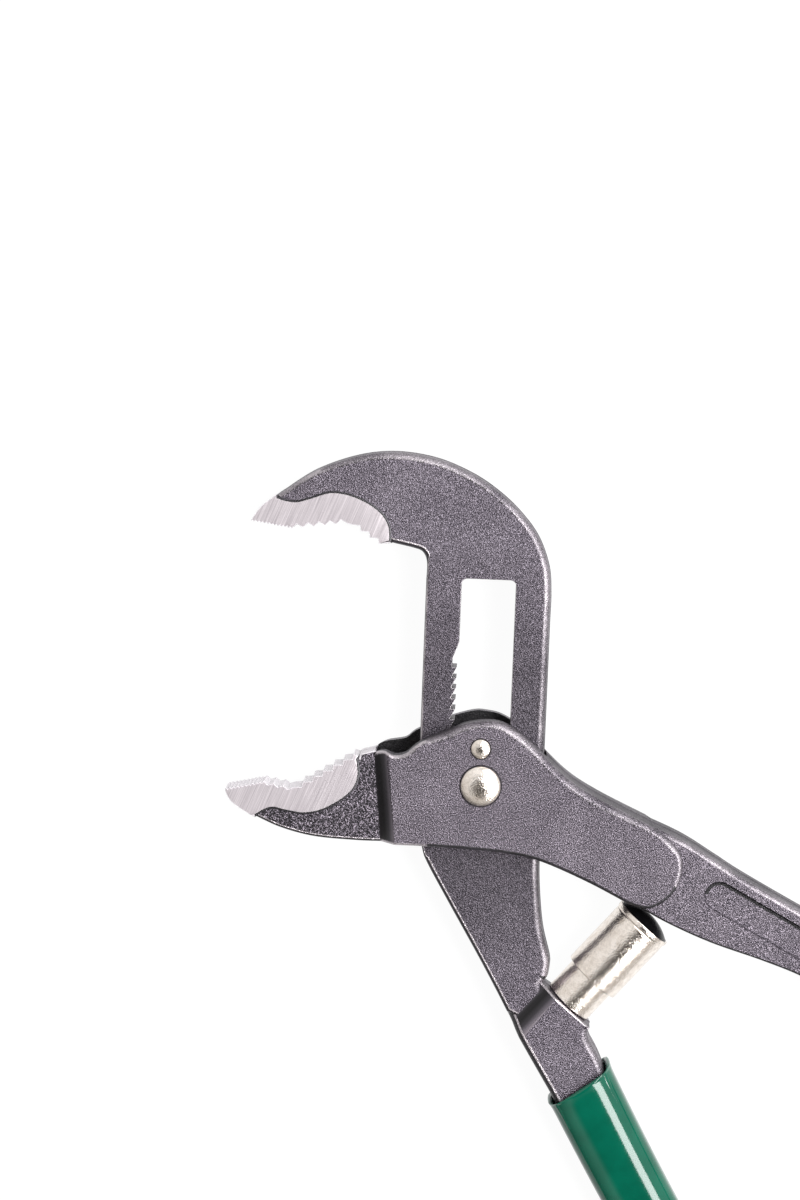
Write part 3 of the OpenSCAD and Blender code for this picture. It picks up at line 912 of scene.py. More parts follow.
# The lower jaw's face, left coarse by the shot: near black with pale grains. The same finish is the
# painted shade along the inside of the edges that face up.
PITTED_AND_SHADE = PhosphatedForging("shot_pitted_and_shade_forging", dark="#171518", mean="#38343A", pale="#857D87",
                           grain_mm=0.36)
# The forgings' sides: the same steel, dull and darker in painted shade
SHADED_SIDE = PhosphatedForging("shaded_black_forging_side", dark="#1E1C1F", mean="#37333A", pale="#5E5861",
                         roughness=0.55, metallic=0.3)
# A thin pale line: painted reflection inside the edges that face down and left, and the rim of the
# plunger's seat
PALE_LINE = PhosphatedForging("pale_edge_line", dark="#8F888D", mean="#B5AEB3", pale="#D5CFD3", roughness=0.3)
# Painted shade on edges and walls that face away from the light: flat black
SHADED = PhosphatedForging("painted_shade_black_phosphate", dark="#0C0B0D", mean="#171519", pale="#262328",
                           worn="#343136", metallic=0.3)
# The jaws' ground faces: light grey streaks
GROUND = GroundSteel("ground_tool_steel")
# The jaws' teeth, ground across: almost white
TOOTHED = GroundSteel("ground_tooth_edge", dark="#C6C0C6", mean="#DCD7DC", pale="#EFECEE", slant=90.0)
# The two forged ramps: a black band of painted shade with a grey crest
RAMP = ShadedRamp("shaded_jaw_ramp", turn=RAMP_TURN, foot=RAMP_FOOT, crest=RAMP_CREST)
STEP = ShadedRamp("shaded_seat_step", turn=SEAT_TURN - 90 - LEAN, foot=STEP_FOOT, crest=STEP_CREST)
# Rivets and plunger: a warm mirror with broken edges
NICKEL = PlatedSteel("nickel_plated_steel")
# The plunger's button: a dark sheen
BURNISHED = PlatedSteel("burnished_dark_steel", tint="#2A292C", shade="#1A191C", roughness=0.3,
                        metallic=0.85)
# What lies inside the tool: plain grey
HARDENED = PlatedSteel("hardened_plain_steel", tint="#8A888C", shade="#6B696E", roughness=0.34)
# The grips: deep green under a white streak
VINYL = DippedVinyl("dipped_vinyl")

JAW_FINISHES: list[Finish] = [FORGED, GROUND, TOOTHED, SHADED, RAMP, STEP, PITTED_AND_SHADE, SHADED_SIDE, PALE_LINE]
ARM_FINISHES: list[Finish] = [SHADED_ARM, *JAW_FINISHES[1:]]


# Pieces


def linked(name: str, data: bpy.types.ID) -> bpy.types.Object:
    """Makes an object and puts it in the scene.

    Args:
        name: the object's name.
        data: the mesh, lamp or camera that it holds.
    Returns:
        The object.
    """
    made = bpy.data.objects.new(name, data)
    bpy.context.scene.collection.objects.link(made)
    return made


def shown(shell: Shell, name: str, finishes: list[Finish]) -> bpy.types.Object:
    """An object in the scene that holds a shell.

    Args:
        shell: the surface.
        name: the object's name.
        finishes: its finishes, in the order of their numbers.
    Returns:
        The object.
    """
    mesh = shell.mesh(name)
    for finish in finishes:
        mesh.materials.append(finish.material())
    mesh.polygons.foreach_set("material_index", shell.finish.astype(np.int32))
    return linked(name, mesh)


def combine(base: bpy.types.Object, other: bpy.types.Object, cut: Cut) -> None:
    """Unites another solid with a solid, or cuts it away, and removes the other's object.

    Args:
        base: the solid that is changed.
        other: the solid that is used up.
        cut: which of the two is done.
    """
    step = base.modifiers.new("combine", "BOOLEAN")
    step.operation, step.solver, step.object = cut.value, "MANIFOLD", other
    graph = bpy.context.evaluated_depsgraph_get()
    made = bpy.data.meshes.new_from_object(base.evaluated_get(graph))
    base.modifiers.clear()
    base.data = made
    bpy.data.objects.remove(other)


def finished(piece: bpy.types.Object, body: Body, node: str, sharp: float = 38.0) -> None:
    """Shades a piece and ties it to the frame.

    Args:
        piece: the object.
        body: the body that it moves with.
        node: the CAD node that it stands for.
        sharp: edges that turn more than this many degrees stay sharp.
    """
    piece.data.polygons.foreach_set("use_smooth", np.ones(len(piece.data.polygons), bool))
    piece.data.set_sharp_from_angle(angle=math.radians(sharp))
    weigh = piece.modifiers.new("even_normals", "WEIGHTED_NORMAL")
    weigh.keep_sharp = True
    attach(piece, body.value)
    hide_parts(node)
    LOG.info("%s: %d faces, rides on %s", piece.name, len(piece.data.polygons), body.value)


@dataclass
class Tang:
    """A handle's tang: its centre line is an arc that starts at the grip's mouth."""

    mouth: Point
    heading: float
    bend: float
    grip_length: float = 106.0
    length: float = 97.0
    width: float = 14.6
    end_width: float = 12.6

    def spine(self, along: Array, off: Array) -> Array:
        """Points beside the centre line: on the arc whose heading turns evenly, moved to its left.

        Args:
            along: distance from the mouth.
            off: distance to the left.
        Returns:
            Plan points.
        """
        radius = self.grip_length / math.radians(self.bend)
        start = math.radians(self.heading)
        a = start + along / radius
        x = self.mouth[0] + radius * (np.sin(a) - math.sin(start)) - off * np.sin(a)
        y = self.mouth[1] + radius * (math.cos(start) - np.cos(a)) + off * np.cos(a)
        return np.stack([x, y], axis=-1)

    def half_width(self, along: Array) -> Array:
        """Half the tang's width at distances from the mouth."""
        share = np.minimum(along / self.length, 1)
        return (self.width + (self.end_width - self.width) * share) / 2

    def side(self, sign: int) -> Array:
        """One edge of the tang, from the mouth outwards: left for 1, right for -1."""
        s = np.linspace(0, self.length, 14)
        return self.spine(s, sign * self.half_width(s))


@dataclass
class Grip:
    """A dipped sleeve: a squared oval carried along the tang, with a rolled lip and a round end.

    The lip stands over the wall. At the mouth the edge dips in front and behind, and slants back on the
    handle's outer side; both settle along the sleeve.
    """

    name: str
    node: str
    body: Body
    tang: Tang
    turn: float = 0.0
    wall: float = 1.33
    lip: float = 0.25
    lip_length: float = 0.75
    dip: float = 0.8
    slant: float = 2.4
    settle: float = 14.0
    square: float = 2.7
    tang_square: float = 9.0
    end: float = 7.0
    short: float = 0.05
    rows: int = 40
    sides: int = 72

    # Distances from the mouth of the rings inside it, and their gaps to the tang
    INSIDE = ((9.0, 0.1), (5.0, 0.1), (2.0, 0.2), (0.9, 0.3))
    # Distances from the mouth at which the lip runs out, and the share of it that is left
    RUN_OUT = ((1.3, 0.75), (2.1, 0.35), (3.0, 0.12), (4.5, 0.03), (7.0, 0.0))
    # Where the plain rows start
    PLAIN_FROM = 11.0

    def profile(self) -> tuple[Array, Array, Array, Array]:
        """The rings from inside the mouth, over the lip and along the outside to the end: the lip is
        half an ellipse, and the end a quarter circle.

        Returns:
            Each ring's distance along the tang, growth over it, scale and power of its squared oval.
        """
        length = self.tang.grip_length - self.short
        inner, gap = np.array(self.INSIDE).T
        fade_at, fade = np.array(self.RUN_OUT).T
        lip = np.radians(np.arange(0, 181, 30))
        end = np.sin(np.radians(np.arange(6, 90.1, 6)))
        along = np.concatenate([inner, self.lip_length * (1 - np.sin(lip)), fade_at,
                                np.linspace(self.PLAIN_FROM, length - self.end, self.rows),
                                length - self.end + self.end * end])
        rolled = gap[-1] + (self.wall + self.lip - gap[-1]) * (1 - np.cos(lip)) / 2
        plain = np.full(self.rows + len(end), self.wall)
        grow = np.concatenate([gap, rolled, self.wall + self.lip * fade, plain])
        scale = np.ones(len(along))
        scale[-len(end):] = np.sqrt(np.maximum(1 - end**2, 0.0004))
        power = np.full(len(along), self.square)
        power[:len(inner)] = self.tang_square
        power[len(inner):len(inner) + len(lip)] = np.linspace(self.tang_square, self.square, len(lip))
        return along, grow, scale, power

    def build(self) -> None:
        """Makes the sleeve: a ring's point lies off the centre line by half width times cos a, and up by
        half thickness times sin a, each to the power 2 / square. At the mouth the rings dip by the
        square of their height."""
        along, grow, scale, power = (v[:, None] for v in self.profile())
        a = np.linspace(0, 2 * math.pi, self.sides, endpoint=False)[None]
        x = np.sign(np.cos(a)) * np.abs(np.cos(a)) ** (2 / power)
        y = np.sign(np.sin(a)) * np.abs(np.sin(a)) ** (2 / power)
        outer = (1 - math.copysign(1, self.tang.bend) * x) / 2
        left = np.clip(1 - (along - self.lip_length) / self.settle, 0, 1)
        place = along + (self.dip * y**2 + self.slant * outer) * left
        plan = self.tang.spine(place, (self.tang.half_width(along) + grow) * scale * x)
        up = MIDDLE + (TANG_HALF + grow) * scale * y
        shell = capped(np.concatenate([plan, up[..., None]], axis=-1)).flipped()
        shell.points = turned(shell.points, self.turn)
        finished(shown(shell, self.name, [VINYL]), self.body, self.node, sharp=60)


ARM_TANG = Tang((25.9, -71.0), -61.9, 7.0)
HANDLE_TANG = Tang((87.4, -44.2), -30.0, -7.0)


@dataclass
class LowerJaw:
    """The lower forging: ground jaw, box joint with its window, handle with a recess, and tang."""

    box_half: float = MIDDLE
    handle_half: float = 7.25
    # Distances along the handle between which it thins to the tang
    taper: Point = (52.0, 97.0)
    # Width, length and height of the arm's way through the box
    window: Place = (30.9, 90.0, 9.3)
    # Height of the rear cheek's front face
    rear_front: float = 3.9
    recess_start: Point = (56.9, -26.5)
    recess_turn: float = -30.5
    recess_length: float = 27.0
    recess_half: float = 3.6
    recess_depth: float = 0.8
    seat_depth: float = 0.3

    # Growth of the recess's outline and share of its depth, from the floor up past the handle's face
    RECESS_WALL = ((-1.0, 1.0), (-0.5, 0.96), (-0.25, 0.75), (0.0, 0.0), (0.5, -0.75))
    # Each rivet seat's height above the pivot, radius, and the height of the face that it is cut into
    SEATS = ((0.0, 5.07, 2 * MIDDLE), (STOP_RISE, 2.55, 2 * MIDDLE),
             (0.0, 4.68, 0.0), (STOP_RISE, 2.78, 0.0))
    # Room for the heel of the arm between the cheeks, on the jaw's side
    MOUTH = ((0, 20), (-24.9, 20), (-24.9, 6), (-14.2, -6.2), (0, 0))

    def ground(self) -> Shell:
        """The ground end of the jaw: from tip to heel fine teeth, three shallow ones and six steps.

        Returns:
            The closed surface.
        """
        teeth = np.vstack([tooth_row((-61.2, -1.4), (-52, 0.3), 10, -0.4, 0.5),
                           tooth_row((-52, 0.3), (-45, -1.2), 3, -0.7, 0.5),
                           tooth_row((-45, -1.2), (-30.4, 6.9), 6, -0.95, 0.7), [(-30.4, 6.9)]])
        belly = smooth([(-61.2, -2.4), (-59.6, -4.9), (-55, -8.1)])
        edge = smooth([(-54.2, -8.55), (-50.4, -6.6), (-47, -7.2), (-42.1, -7.9), (-36.8, -6.6),
                       (-31, -2.8), (-28.8, 1.6), (-29.3, 6.9)])
        loop = np.vstack([belly, edge[:-1], teeth[::-1]])
        return ground_end(loop, len(belly), len(belly) + len(edge) - 2)

    def jaw(self) -> Shell:
        """The forged part of the jaw, from under the ground end into the box.

        Returns:
            The closed surface.
        """
        belly = smooth([(-54.2, -8.5), (-48, -11.3), (-40, -13.4), (-30, -14.3), (-24, -14.5)])
        rest = [(-20, -13), (-19, 5), (-22.5, 7.4), (-25.2, 8.1), (-28.8, 7.25), (-30.4, 5), (-33, 0.5),
                (-38, -4.4), (-45, -5.4), (-50.5, -4.6), (-53.2, -6.4)]
        loop = resampled(np.vstack([belly, rest]), 2)
        x, y = loop.T
        bare = (x > -29.5) & (x < -24) & (y > 6)
        # Painted shade on the edges that face down, with a painted reflection inside them along the
        # belly
        return ForgedPlate(loop, even(JAW_HALF), np.where(bare, 0.3, 0.8), face_finish=Skin.PITTED_AND_SHADE,
                           side_finish=np.where(bare, Skin.TOOTHED, Skin.FORGED),
                           edge_finish=np.where(bare, Skin.TOOTHED, unlit(loop)), reflection_line=True).build()

    def box(self) -> Shell:
        """The cheeks as one block, with the ramp down to the jaw and the rounded end over the handle.
        Its crown is what lies above a line that falls with the handle.

        Returns:
            The closed surface.
        """
        under = smooth([(-26.6, -13.2), (-24.6, -14.4), (-14, -14.9), (-4, -15.5), (6, -16.5),
                        (14, -18.3), (25, -23.1), (35, -28.4)])
        end = smooth([(35, -28.4), (40, -29.6), (44.8, -27.1), (47.9, -22.3), (48, -16.6), (44.5, -12.2),
                      (40, -8.9)])
        crown = smooth([(40, -8.9), (28, -2.7), (20.5, 2.3), (12.2, 10.5), (8.5, 13.4), (5, 15.3),
                        (1, 15.8), (-4, 15), (-8.2, 13.1), (-13.4, 11.1), (-15.7, 9.7),
                        (-18, 7.9), (-20.4, 7.5), (-22.8, 8.4), (-25, 7.9), (-27, 6.4)])
        loop = resampled(np.vstack([under[:-1], end[:-1], crown]), 2)
        x, y = loop.T
        line = 13.5 - 0.55 * np.maximum(x, 4) - 0.08 * np.maximum(x - 15, 0)
        on_crown = (y > line) & (x > -16) | (x < -16) & (y > 0)
        on_end = (x > 44) & (y > -24)
        broad = np.interp(x, [-24, -16, -8, 30, 44], [0.8, 1.1, 1.7, 2.0, 1.4])
        rounds = np.where(on_crown, broad, np.where(on_end, 1.3, 0.8))
        # Painted shade: the ramp, the edges that face down, the sides, and a line inside the edges that
        # face up
        lower = (unlit(loop) == Skin.SHADED) & (x > -14)
        return ForgedPlate(loop, self.box_thickness(0.0), rounds,
                           creases=[line_across(RAMP_TURN, RAMP_CREST)],
                           face_finish=before(RAMP_TURN, RAMP_CREST, Skin.RAMP),
                           edge_finish=np.where(lower, Skin.SHADED, Skin.FORGED),
                           side_finish=Skin.SHADED_SIDE, side_wear=0.0, shade_line=True).build()

    def box_thickness(self, less: float) -> Field:
        """Half thickness of the box: even, and falling to the jaw and on below it along the ramp.

        Args:
            less: what is taken off it everywhere.
        Returns:
            A function of plan points.
        """
        slope = (self.box_half - JAW_HALF) / (RAMP_CREST - RAMP_FOOT)
        below = 4.0
        return half_along(RAMP_TURN, [RAMP_FOOT - below, RAMP_CREST],
                          [JAW_HALF - below * slope - less, self.box_half - less])

    def rear_cheek(self) -> Shell:
        """The crown of the rear cheek, higher than the front one and without its dip.

        Returns:
            The closed surface, before its front is cut.
        """
        crown = smooth([(8.5, 13.4), (4.6, 15.5), (1.2, 16.25), (-1.6, 16.35), (-6.3, 15.2),
                        (-10.5, 13.6), (-15, 11.8), (-16.4, 11), (-17.7, 9.9), (-19.1, 9.4),
                        (-23, 8.8), (-25.2, 7.9)])
        loop = resampled(np.vstack([[(-24, 4), (-14, 0), (8.5, 0)], crown]), 2)
        return ForgedPlate(loop, self.box_thickness(0.05), 0.8, draft=0.0, band=0.0,
                           creases=[line_across(RAMP_TURN, RAMP_CREST)]).build()

    def handle_thickness(self) -> Field:
        """Half thickness of the handle: full at the box, tapering to the tang."""
        return half_along(HANDLE_TANG.heading, list(self.taper), [self.handle_half, TANG_HALF])

    def handle(self) -> Shell:
        """The handle and its tang.

        Returns:
            The closed surface.
        """
        under = smooth([(34, -27.2), (43.6, -32.8), (54.6, -37.9), (67, -42.3), (76.4, -46.1),
                        (83.7, -50.4)])
        back = smooth([(91, -37.9), (76.9, -30.2), (63, -22.2), (56.5, -18), (48.3, -12.9), (38, -8.2)])
        loop = resampled(np.vstack([[(22, -6), (24, -20)], under[:-1], HANDLE_TANG.side(-1),
                                    HANDLE_TANG.side(1)[::-1], back[1:]]), 3)
        rounds = np.interp(facing(loop, Side.UNDER), [0.0, 0.5], [1.3, 0.5])
        # Painted shade on the edges that face down and on the sides
        return ForgedPlate(loop, self.handle_thickness(), rounds,
                           creases=[line_across(HANDLE_TANG.heading, v) for v in self.taper],
                           edge_finish=unlit(loop), side_finish=Skin.SHADED_SIDE, side_wear=0.0).build()

    def recess(self, front: bool) -> Shell:
        """A cutter for the recess: a stadium whose floor lies under the handle's face by the depth and
        whose walls lean out, the upper one in painted shade.

        Args:
            front: whether it is for the front, not for the rear.
        Returns:
            The closed surface.
        """
        loop = np.vstack([arc((0, 0), 1, 90, 270, 16), arc((0, 0), 1, -90, 90, 16)])
        far = np.repeat([0.0, self.recess_length], len(loop) // 2)
        half = self.handle_thickness()
        rings = []
        for grow, share in self.RECESS_WALL:
            outline = loop * (self.recess_half + grow) + np.c_[far, np.zeros(len(far))]
            plan = np.asarray(self.recess_start) + turned(outline, self.recess_turn)
            rings.append(np.c_[plan, half(plan) - self.recess_depth * share])
        # Painted shade on the upper wall
        walls = np.tile(np.where(loop[:, 1] > -0.3, Skin.SHADED, Skin.FORGED), len(rings) - 1)
        shell = capped(np.stack(rings), finish=walls)
        if not front:
            shell = shell.flipped()
            shell.points[:, 2] *= -1
        shell.points[:, 2] += MIDDLE
        return shell

    def cutters(self) -> list[Shell]:
        """What is cut from the joint: the arm's window in both end poses, the mouth, the rivets' seats.
        The walls that they leave are painted shade.

        Returns:
            The cutting blocks.
        """
        width, length, height = self.window
        windows = [rectangle(width, length, turn - LEAN) for turn in (0.0, CLOSING)]
        seats = [prism(arc((0, rise), radius, 0, 354, 59), 2 * self.seat_depth, face)
                 for rise, radius, face in self.SEATS]
        return [prism(outline, height) for outline in (*windows, np.array(self.MOUTH))] + seats

    def build(self) -> None:
        """Puts the forging together and cuts its openings."""
        handle = shown(self.handle(), "handle_part", JAW_FINISHES)
        for front in (True, False):
            combine(handle, shown(self.recess(front), "cutter", JAW_FINISHES), Cut.DIFFERENCE)
        rear = shown(self.rear_cheek(), "rear_cheek_part", JAW_FINISHES)
        # A block larger than the cheek, in front of where its front face will be; the face that it cuts
        # is painted shade
        size, tall = 100.0, 20.0
        block = prism(rectangle(size, size, 0), tall, self.rear_front + tall / 2)
        combine(rear, shown(block, "cutter", JAW_FINISHES), Cut.DIFFERENCE)
        piece = shown(self.box(), "lower_jaw_forging", JAW_FINISHES)
        jaws = [shown(shell, "jaw_part", JAW_FINISHES) for shell in (self.jaw(), self.ground())]
        for part in (rear, handle, *jaws):
            combine(piece, part, Cut.UNION)
        for cutter in self.cutters():
            combine(piece, shown(cutter, "cutter", JAW_FINISHES), Cut.DIFFERENCE)
        finished(piece, Body.LOWER, "lower_jaw_handle")


@dataclass
class UpperJaw:
    """The upper forging: ground hook jaw, slotted arm with its ratchet teeth, plunger seat and tang."""

    # Half thickness of the tail behind its step, and where along it the tail has thinned to the tang
    pad_half: float = 7.3
    pad_end: float = 66.0
    slot_half: float = 6.5
    slot_top: float = 48.9
    slot_foot: float = -14.6
    slot_round: float = 1.4
    ratchet_first: float = 27.6
    ratchet_pitch: float = 2.5
    ratchet_slope: float = 2.2
    ratchet_count: int = 17
    ratchet_tip: float = -6.85
    ratchet_root: float = -7.95
    # Ends of the plunger's seat along the tail, from the seat's middle
    seat_ends: Point = (-8.8, 7.1)

    def ground(self) -> Shell:
        """The ground end of the jaw: from tip to heel fine teeth, five scallops and three steps.

        Returns:
            The closed surface.
        """
        teeth = np.vstack([tooth_row((-57.2, 60.5), (-47.3, 59.1), 12, 0.4, 0.5),
                           tooth_row((-47.3, 59.1), (-34.2, 60.9), 5, 0.95, 0.5), [(-34.2, 60.9)],
                           tooth_row((-33, 60.6), (-26.5, 56.3), 3, 0.95, 0.64), [(-26.5, 56.3)]])
        edge = smooth([(-23.4, 56.6), (-23.8, 60.9), (-26.5, 64.6), (-32, 67.6), (-38, 68.6),
                       (-43.3, 67), (-46.3, 66.1), (-49, 66.3), (-51.4, 67)])
        back = smooth([(-49.5, 68.3), (-54.6, 64.3), (-57.2, 60.5)])[5:-1]
        loop = np.vstack([teeth, edge, back])
        return ground_end(loop, len(teeth), len(teeth) + len(edge) - 2)

    def slot(self) -> Array:
        """The slot, with the metal on its left: plain right wall, rounded top corners, ratchet teeth.

        Returns:
            The loop's points.
        """
        v = self.ratchet_first - self.ratchet_pitch * np.arange(self.ratchet_count)[:, None]
        tip, root = np.full_like(v, self.ratchet_tip), np.full_like(v, self.ratchet_root)
        rack = np.stack([np.hstack([root, v]), np.hstack([tip, v]),
                         np.hstack([root, v - self.ratchet_slope])], axis=1).reshape(-1, 2)
        r = self.slot_round
        x, y = self.slot_half - r, self.slot_top - r
        relief = [(-self.slot_half, 33.5), (self.ratchet_root, 29.6)]
        foot = [(self.ratchet_root, self.slot_foot), (self.slot_half, self.slot_foot)]
        loop = np.vstack([arc((x, y), r, 0, 90), arc((-x, y), r, 90, 180), relief, rack, foot])
        apart = np.linalg.norm(loop - np.roll(loop, 1, axis=0), axis=1) > 1e-6
        return loop[apart][::-1]

    def arm(self) -> Shell:
        """The arm and the forged part of the hook. The edges that face straight left are tight.

        Returns:
            The closed surface.
        """
        right = smooth([(18.2, -46.5), (18.5, -44), (18.4, -41.6), (16.6, -35), (15.6, -28), (15, -20),
                        (15, -10)])
        back = smooth([(15, 40), (15, 46), (14.3, 52.5), (11.5, 59.5), (7, 65.2), (1.5, 70), (-5, 74),
                       (-13.5, 77.2), (-23, 78.37), (-32, 77.2), (-41.8, 73.5), (-49.5, 68.3),
                       (-51.2, 67.0)])
        under_ground = [(-50.8, 65.2), (-47, 63.8), (-38, 65.5), (-31, 65), (-26.5, 61)]
        root = smooth([(-25, 57.2), (-23.4, 56.5), (-18, 55.4), (-16, 54.5), (-15, 52.2), (-15, 48)])
        left = smooth([(-15, -10), (-13.5, -16.9), (-12.1, -20.4), (-7, -29.1), (0.5, -41.6),
                       (5.35, -50), (8.4, -55.5)])
        under_tail = [(14, -58), (20, -56), (16.9, -48.4)]
        loop = resampled(np.vstack([right, back, under_ground, root, left, under_tail]), 2)
        tight = np.clip((facing(loop, Side.LEFT) - 0.9) / 0.08, 0, 1)
        rounds = softened(loop, 1.1, 1.7) * (1 - tight) + 0.35 * tight
        # Painted shade on the edges that face down and inside those that face up; a painted reflection
        # inside those that face down and left
        return ForgedPlate(loop, even(JAW_HALF), rounds, [self.slot()], edge_finish=unlit(loop),
                           shade_line=True, reflection_line=True).build()

    def tail(self) -> Shell:
        """The thicker tail with the plunger's seat, and the tang. A step leads up to it from the arm,
        and it thins towards the tang.

        Returns:
            The closed surface.
        """
        turn = SEAT_TURN - 90
        out, ahead, seat = heading(SEAT_TURN), heading(turn), np.asarray(SEAT)
        near, far = (seat + v * ahead for v in self.seat_ends)
        left = smooth([(4.6, -48.7), (9.15, -56.8), (11.65, -61.5), (19.46, -74.44)])
        neck = smooth([(32.34, -67.56), (30.9, -64.4), (29.2, -61.6), (28.4, -59.5), tuple(far)])
        loop = resampled(np.vstack([left[:-1], ARM_TANG.side(-1), ARM_TANG.side(1)[::-1][:-1], neck,
                                    [near, (15, -45.5)]]), 2)
        slope = (self.pad_half - JAW_HALF) / (STEP_CREST - STEP_FOOT)
        below = 3.0
        half = half_along(turn, [STEP_FOOT - below, STEP_CREST, self.pad_end],
                          [JAW_HALF - below * slope, self.pad_half, TANG_HALF])
        on_seat = np.abs((loop - seat) @ out) < 0.5
        # Painted shade on the step and on the edges that face down; a painted reflection inside those
        # that face down and left; a pale line on the seat's rim
        return ForgedPlate(loop, half, np.where(on_seat, 0.45, softened(loop, 1.6, 1.7)),
                           creases=[line_across(turn, v) for v in (STEP_CREST, self.pad_end)],
                           edge_finish=np.where(on_seat, Skin.PALE_LINE, unlit(loop)), reflection_line=True,
                           face_finish=before(turn, STEP_CREST, Skin.STEP)).build()

    def build(self) -> None:
        """Puts the forging together in the arm's frame and turns it into the tool's."""
        shells = [self.arm(), self.tail(), self.ground()]
        for shell in shells:
            shell.points = turned(shell.points, -LEAN)
        piece = shown(shells[0], "upper_jaw_forging", ARM_FINISHES)
        for shell in shells[1:]:
            combine(piece, shown(shell, "arm_part", ARM_FINISHES), Cut.UNION)
        finished(piece, Body.UPPER, "upper_jaw_arm")


@dataclass
class Rivet:
    """A rivet with a domed front head and a flush countersunk tail."""

    name: str
    node: str
    rise: float
    shank: float
    head: float
    head_height: float
    length: float = 17.3
    lift: float = 0.02
    tail: float = 1.2
    flare: float = 1.1

    def build(self) -> None:
        """Turns the rivet: tail, shank, then a head that is half of a flat ellipsoid."""
        r, s, foot = self.head / 2, self.shank / 2, self.length + self.lift
        top = self.length + self.head_height
        a = np.linspace(math.pi / 2, 0, 20)[:-1]
        dome = np.stack([r * np.sin(a), foot + (top - foot) * np.cos(a)], axis=1)
        below = [(0, 0), (s + self.flare - 0.15, 0), (s + self.flare - 0.02, 0.1), (s, self.tail),
                 (s, foot)]
        shell = turned_solid(np.vstack([below, dome, [(0, top)]]), Matrix.Translation((0, self.rise, 0)))
        finished(shown(shell, self.name, [NICKEL]), Body.LOWER, self.node, sharp=50)


@dataclass
class Plunger:
    """The spring plunger between the handles: fixed tube, sliding sleeve and dark button.

    Heights run along its axis from the arm's seat; lift and end are those of the sleeve's two ends.
    """

    tube: float = 6.1
    tube_bore: float = 5.0
    tube_floor: float = 1.1
    flange: float = 6.52
    flange_foot: float = 14.6
    flange_top: float = 15.6
    spigot: float = 3.0
    spigot_depth: float = 6.0
    sleeve: float = 7.2
    bore: float = 6.6
    neck: float = 6.18
    lift: float = 8.4
    end: float = 27.0
    rim: float = 0.2
    plug: float = 2.4
    dome: float = 2.2
    sides: int = 96

    def place(self) -> Matrix:
        """Puts the axis, drawn up +Z, on the seat.

        Returns:
            The pose of the axis in the tool's frame.
        """
        x, y = turned(np.array([SEAT]), -LEAN)[0]
        swing = Matrix.Rotation(math.radians(SEAT_TURN - LEAN), 4, "Z")
        return Matrix.Translation((x, y, MIDDLE)) @ swing @ Matrix.Rotation(math.pi / 2, 4, "Y")

    def tube_profile(self) -> Array:
        """The tube: a spigot, an outside that ends in a flange, and a bore down to its floor.

        Returns:
            Radii and heights, from the foot of the axis round to its top.
        """
        t, b = self.tube, self.tube_bore
        low, high, floor = self.flange_foot, self.flange_top, self.tube_floor
        return rounded([(0, -self.spigot_depth), (self.spigot, -self.spigot_depth), (self.spigot, 0),
                        (t, 0), (t, low), (self.flange, low), (self.flange, high), (b, high), (b, floor),
                        (0, floor)], 0.25)

    def sleeve_profile(self) -> Array:
        """The sleeve: a bore with a narrow neck, a plain outside, and a groove below its rolled rim.

        Returns:
            Radii and heights, from the foot of the axis round to its top.
        """
        s, e, low = self.sleeve, self.end, self.lift
        return rounded([(0, e - 0.1), (self.bore, e - 0.1), (self.bore, low + 1), (self.neck, low + 1),
                        (self.neck, low), (s, low), (s, e - 1.7), (s - 0.12, e - 1.5),
                        (s + self.rim, e - 1.2), (s + self.rim, e), (s - 0.25, e), (0, e)], 0.35)

    def button_profile(self) -> Array:
        """The button: a plug in the bore, under a dome that is part of a ball.

        Returns:
            Radii and heights, from the foot of the axis round to its top.
        """
        e, r, fit = self.end, self.sleeve - 0.3, self.bore - 0.02
        ball = (r * r + self.dome**2) / (2 * self.dome)
        a = np.linspace(math.asin(r / ball), 0, 16)[1:-1]
        crown = np.stack([ball * np.sin(a), e + self.dome - ball + ball * np.cos(a)], axis=1)
        foot = [(0, e - self.plug), (fit, e - self.plug), (fit, e), (r - 0.1, e), (r, e + 0.1)]
        return np.vstack([foot, crown, [(0, e + self.dome)]])

    def build(self) -> None:
        """Turns the three pieces from their profiles."""
        place = self.place()
        for name, profile, finish, body, node, slot in (
                ("plunger_fixed_tube", self.tube_profile(), NICKEL, Body.UPPER, "plunger_tube",
                 "plunger"),
                ("plunger_sliding_sleeve", self.sleeve_profile(), NICKEL, Body.PLUNGER, "plunger_sleeve",
                 "plunger"),
                ("plunger_domed_button", self.button_profile(), BURNISHED, Body.PLUNGER,
                 "plunger_button", "button")):
            shell = turned_solid(profile, place, self.sides)
            finished(shown(shell, name, [finish]), body, node, sharp=45)


class InnerParts:
    """The washers, pawl and springs inside the tool, which keep their CAD shapes."""

    NODES = ("guide_washer_front", "guide_washer_rear", "pawl", "pawl_spring", "plunger_spring")

    def build(self) -> None:
        """Gives each of them its steel finish."""
        for name in self.NODES:
            node = frame["nodes"][name]
            node.data.materials.clear()
            node.data.materials.append(HARDENED.material())
            LOG.info("%s keeps its CAD shape", name)


# Studio


def posed(place: Vector, right: Vector, up: Vector, back: Vector) -> Matrix:
    """The pose of a camera or lamp at a place, from the directions of its three axes."""
    return Matrix.Translation(place) @ Matrix((right, up, back)).transposed().to_4x4()


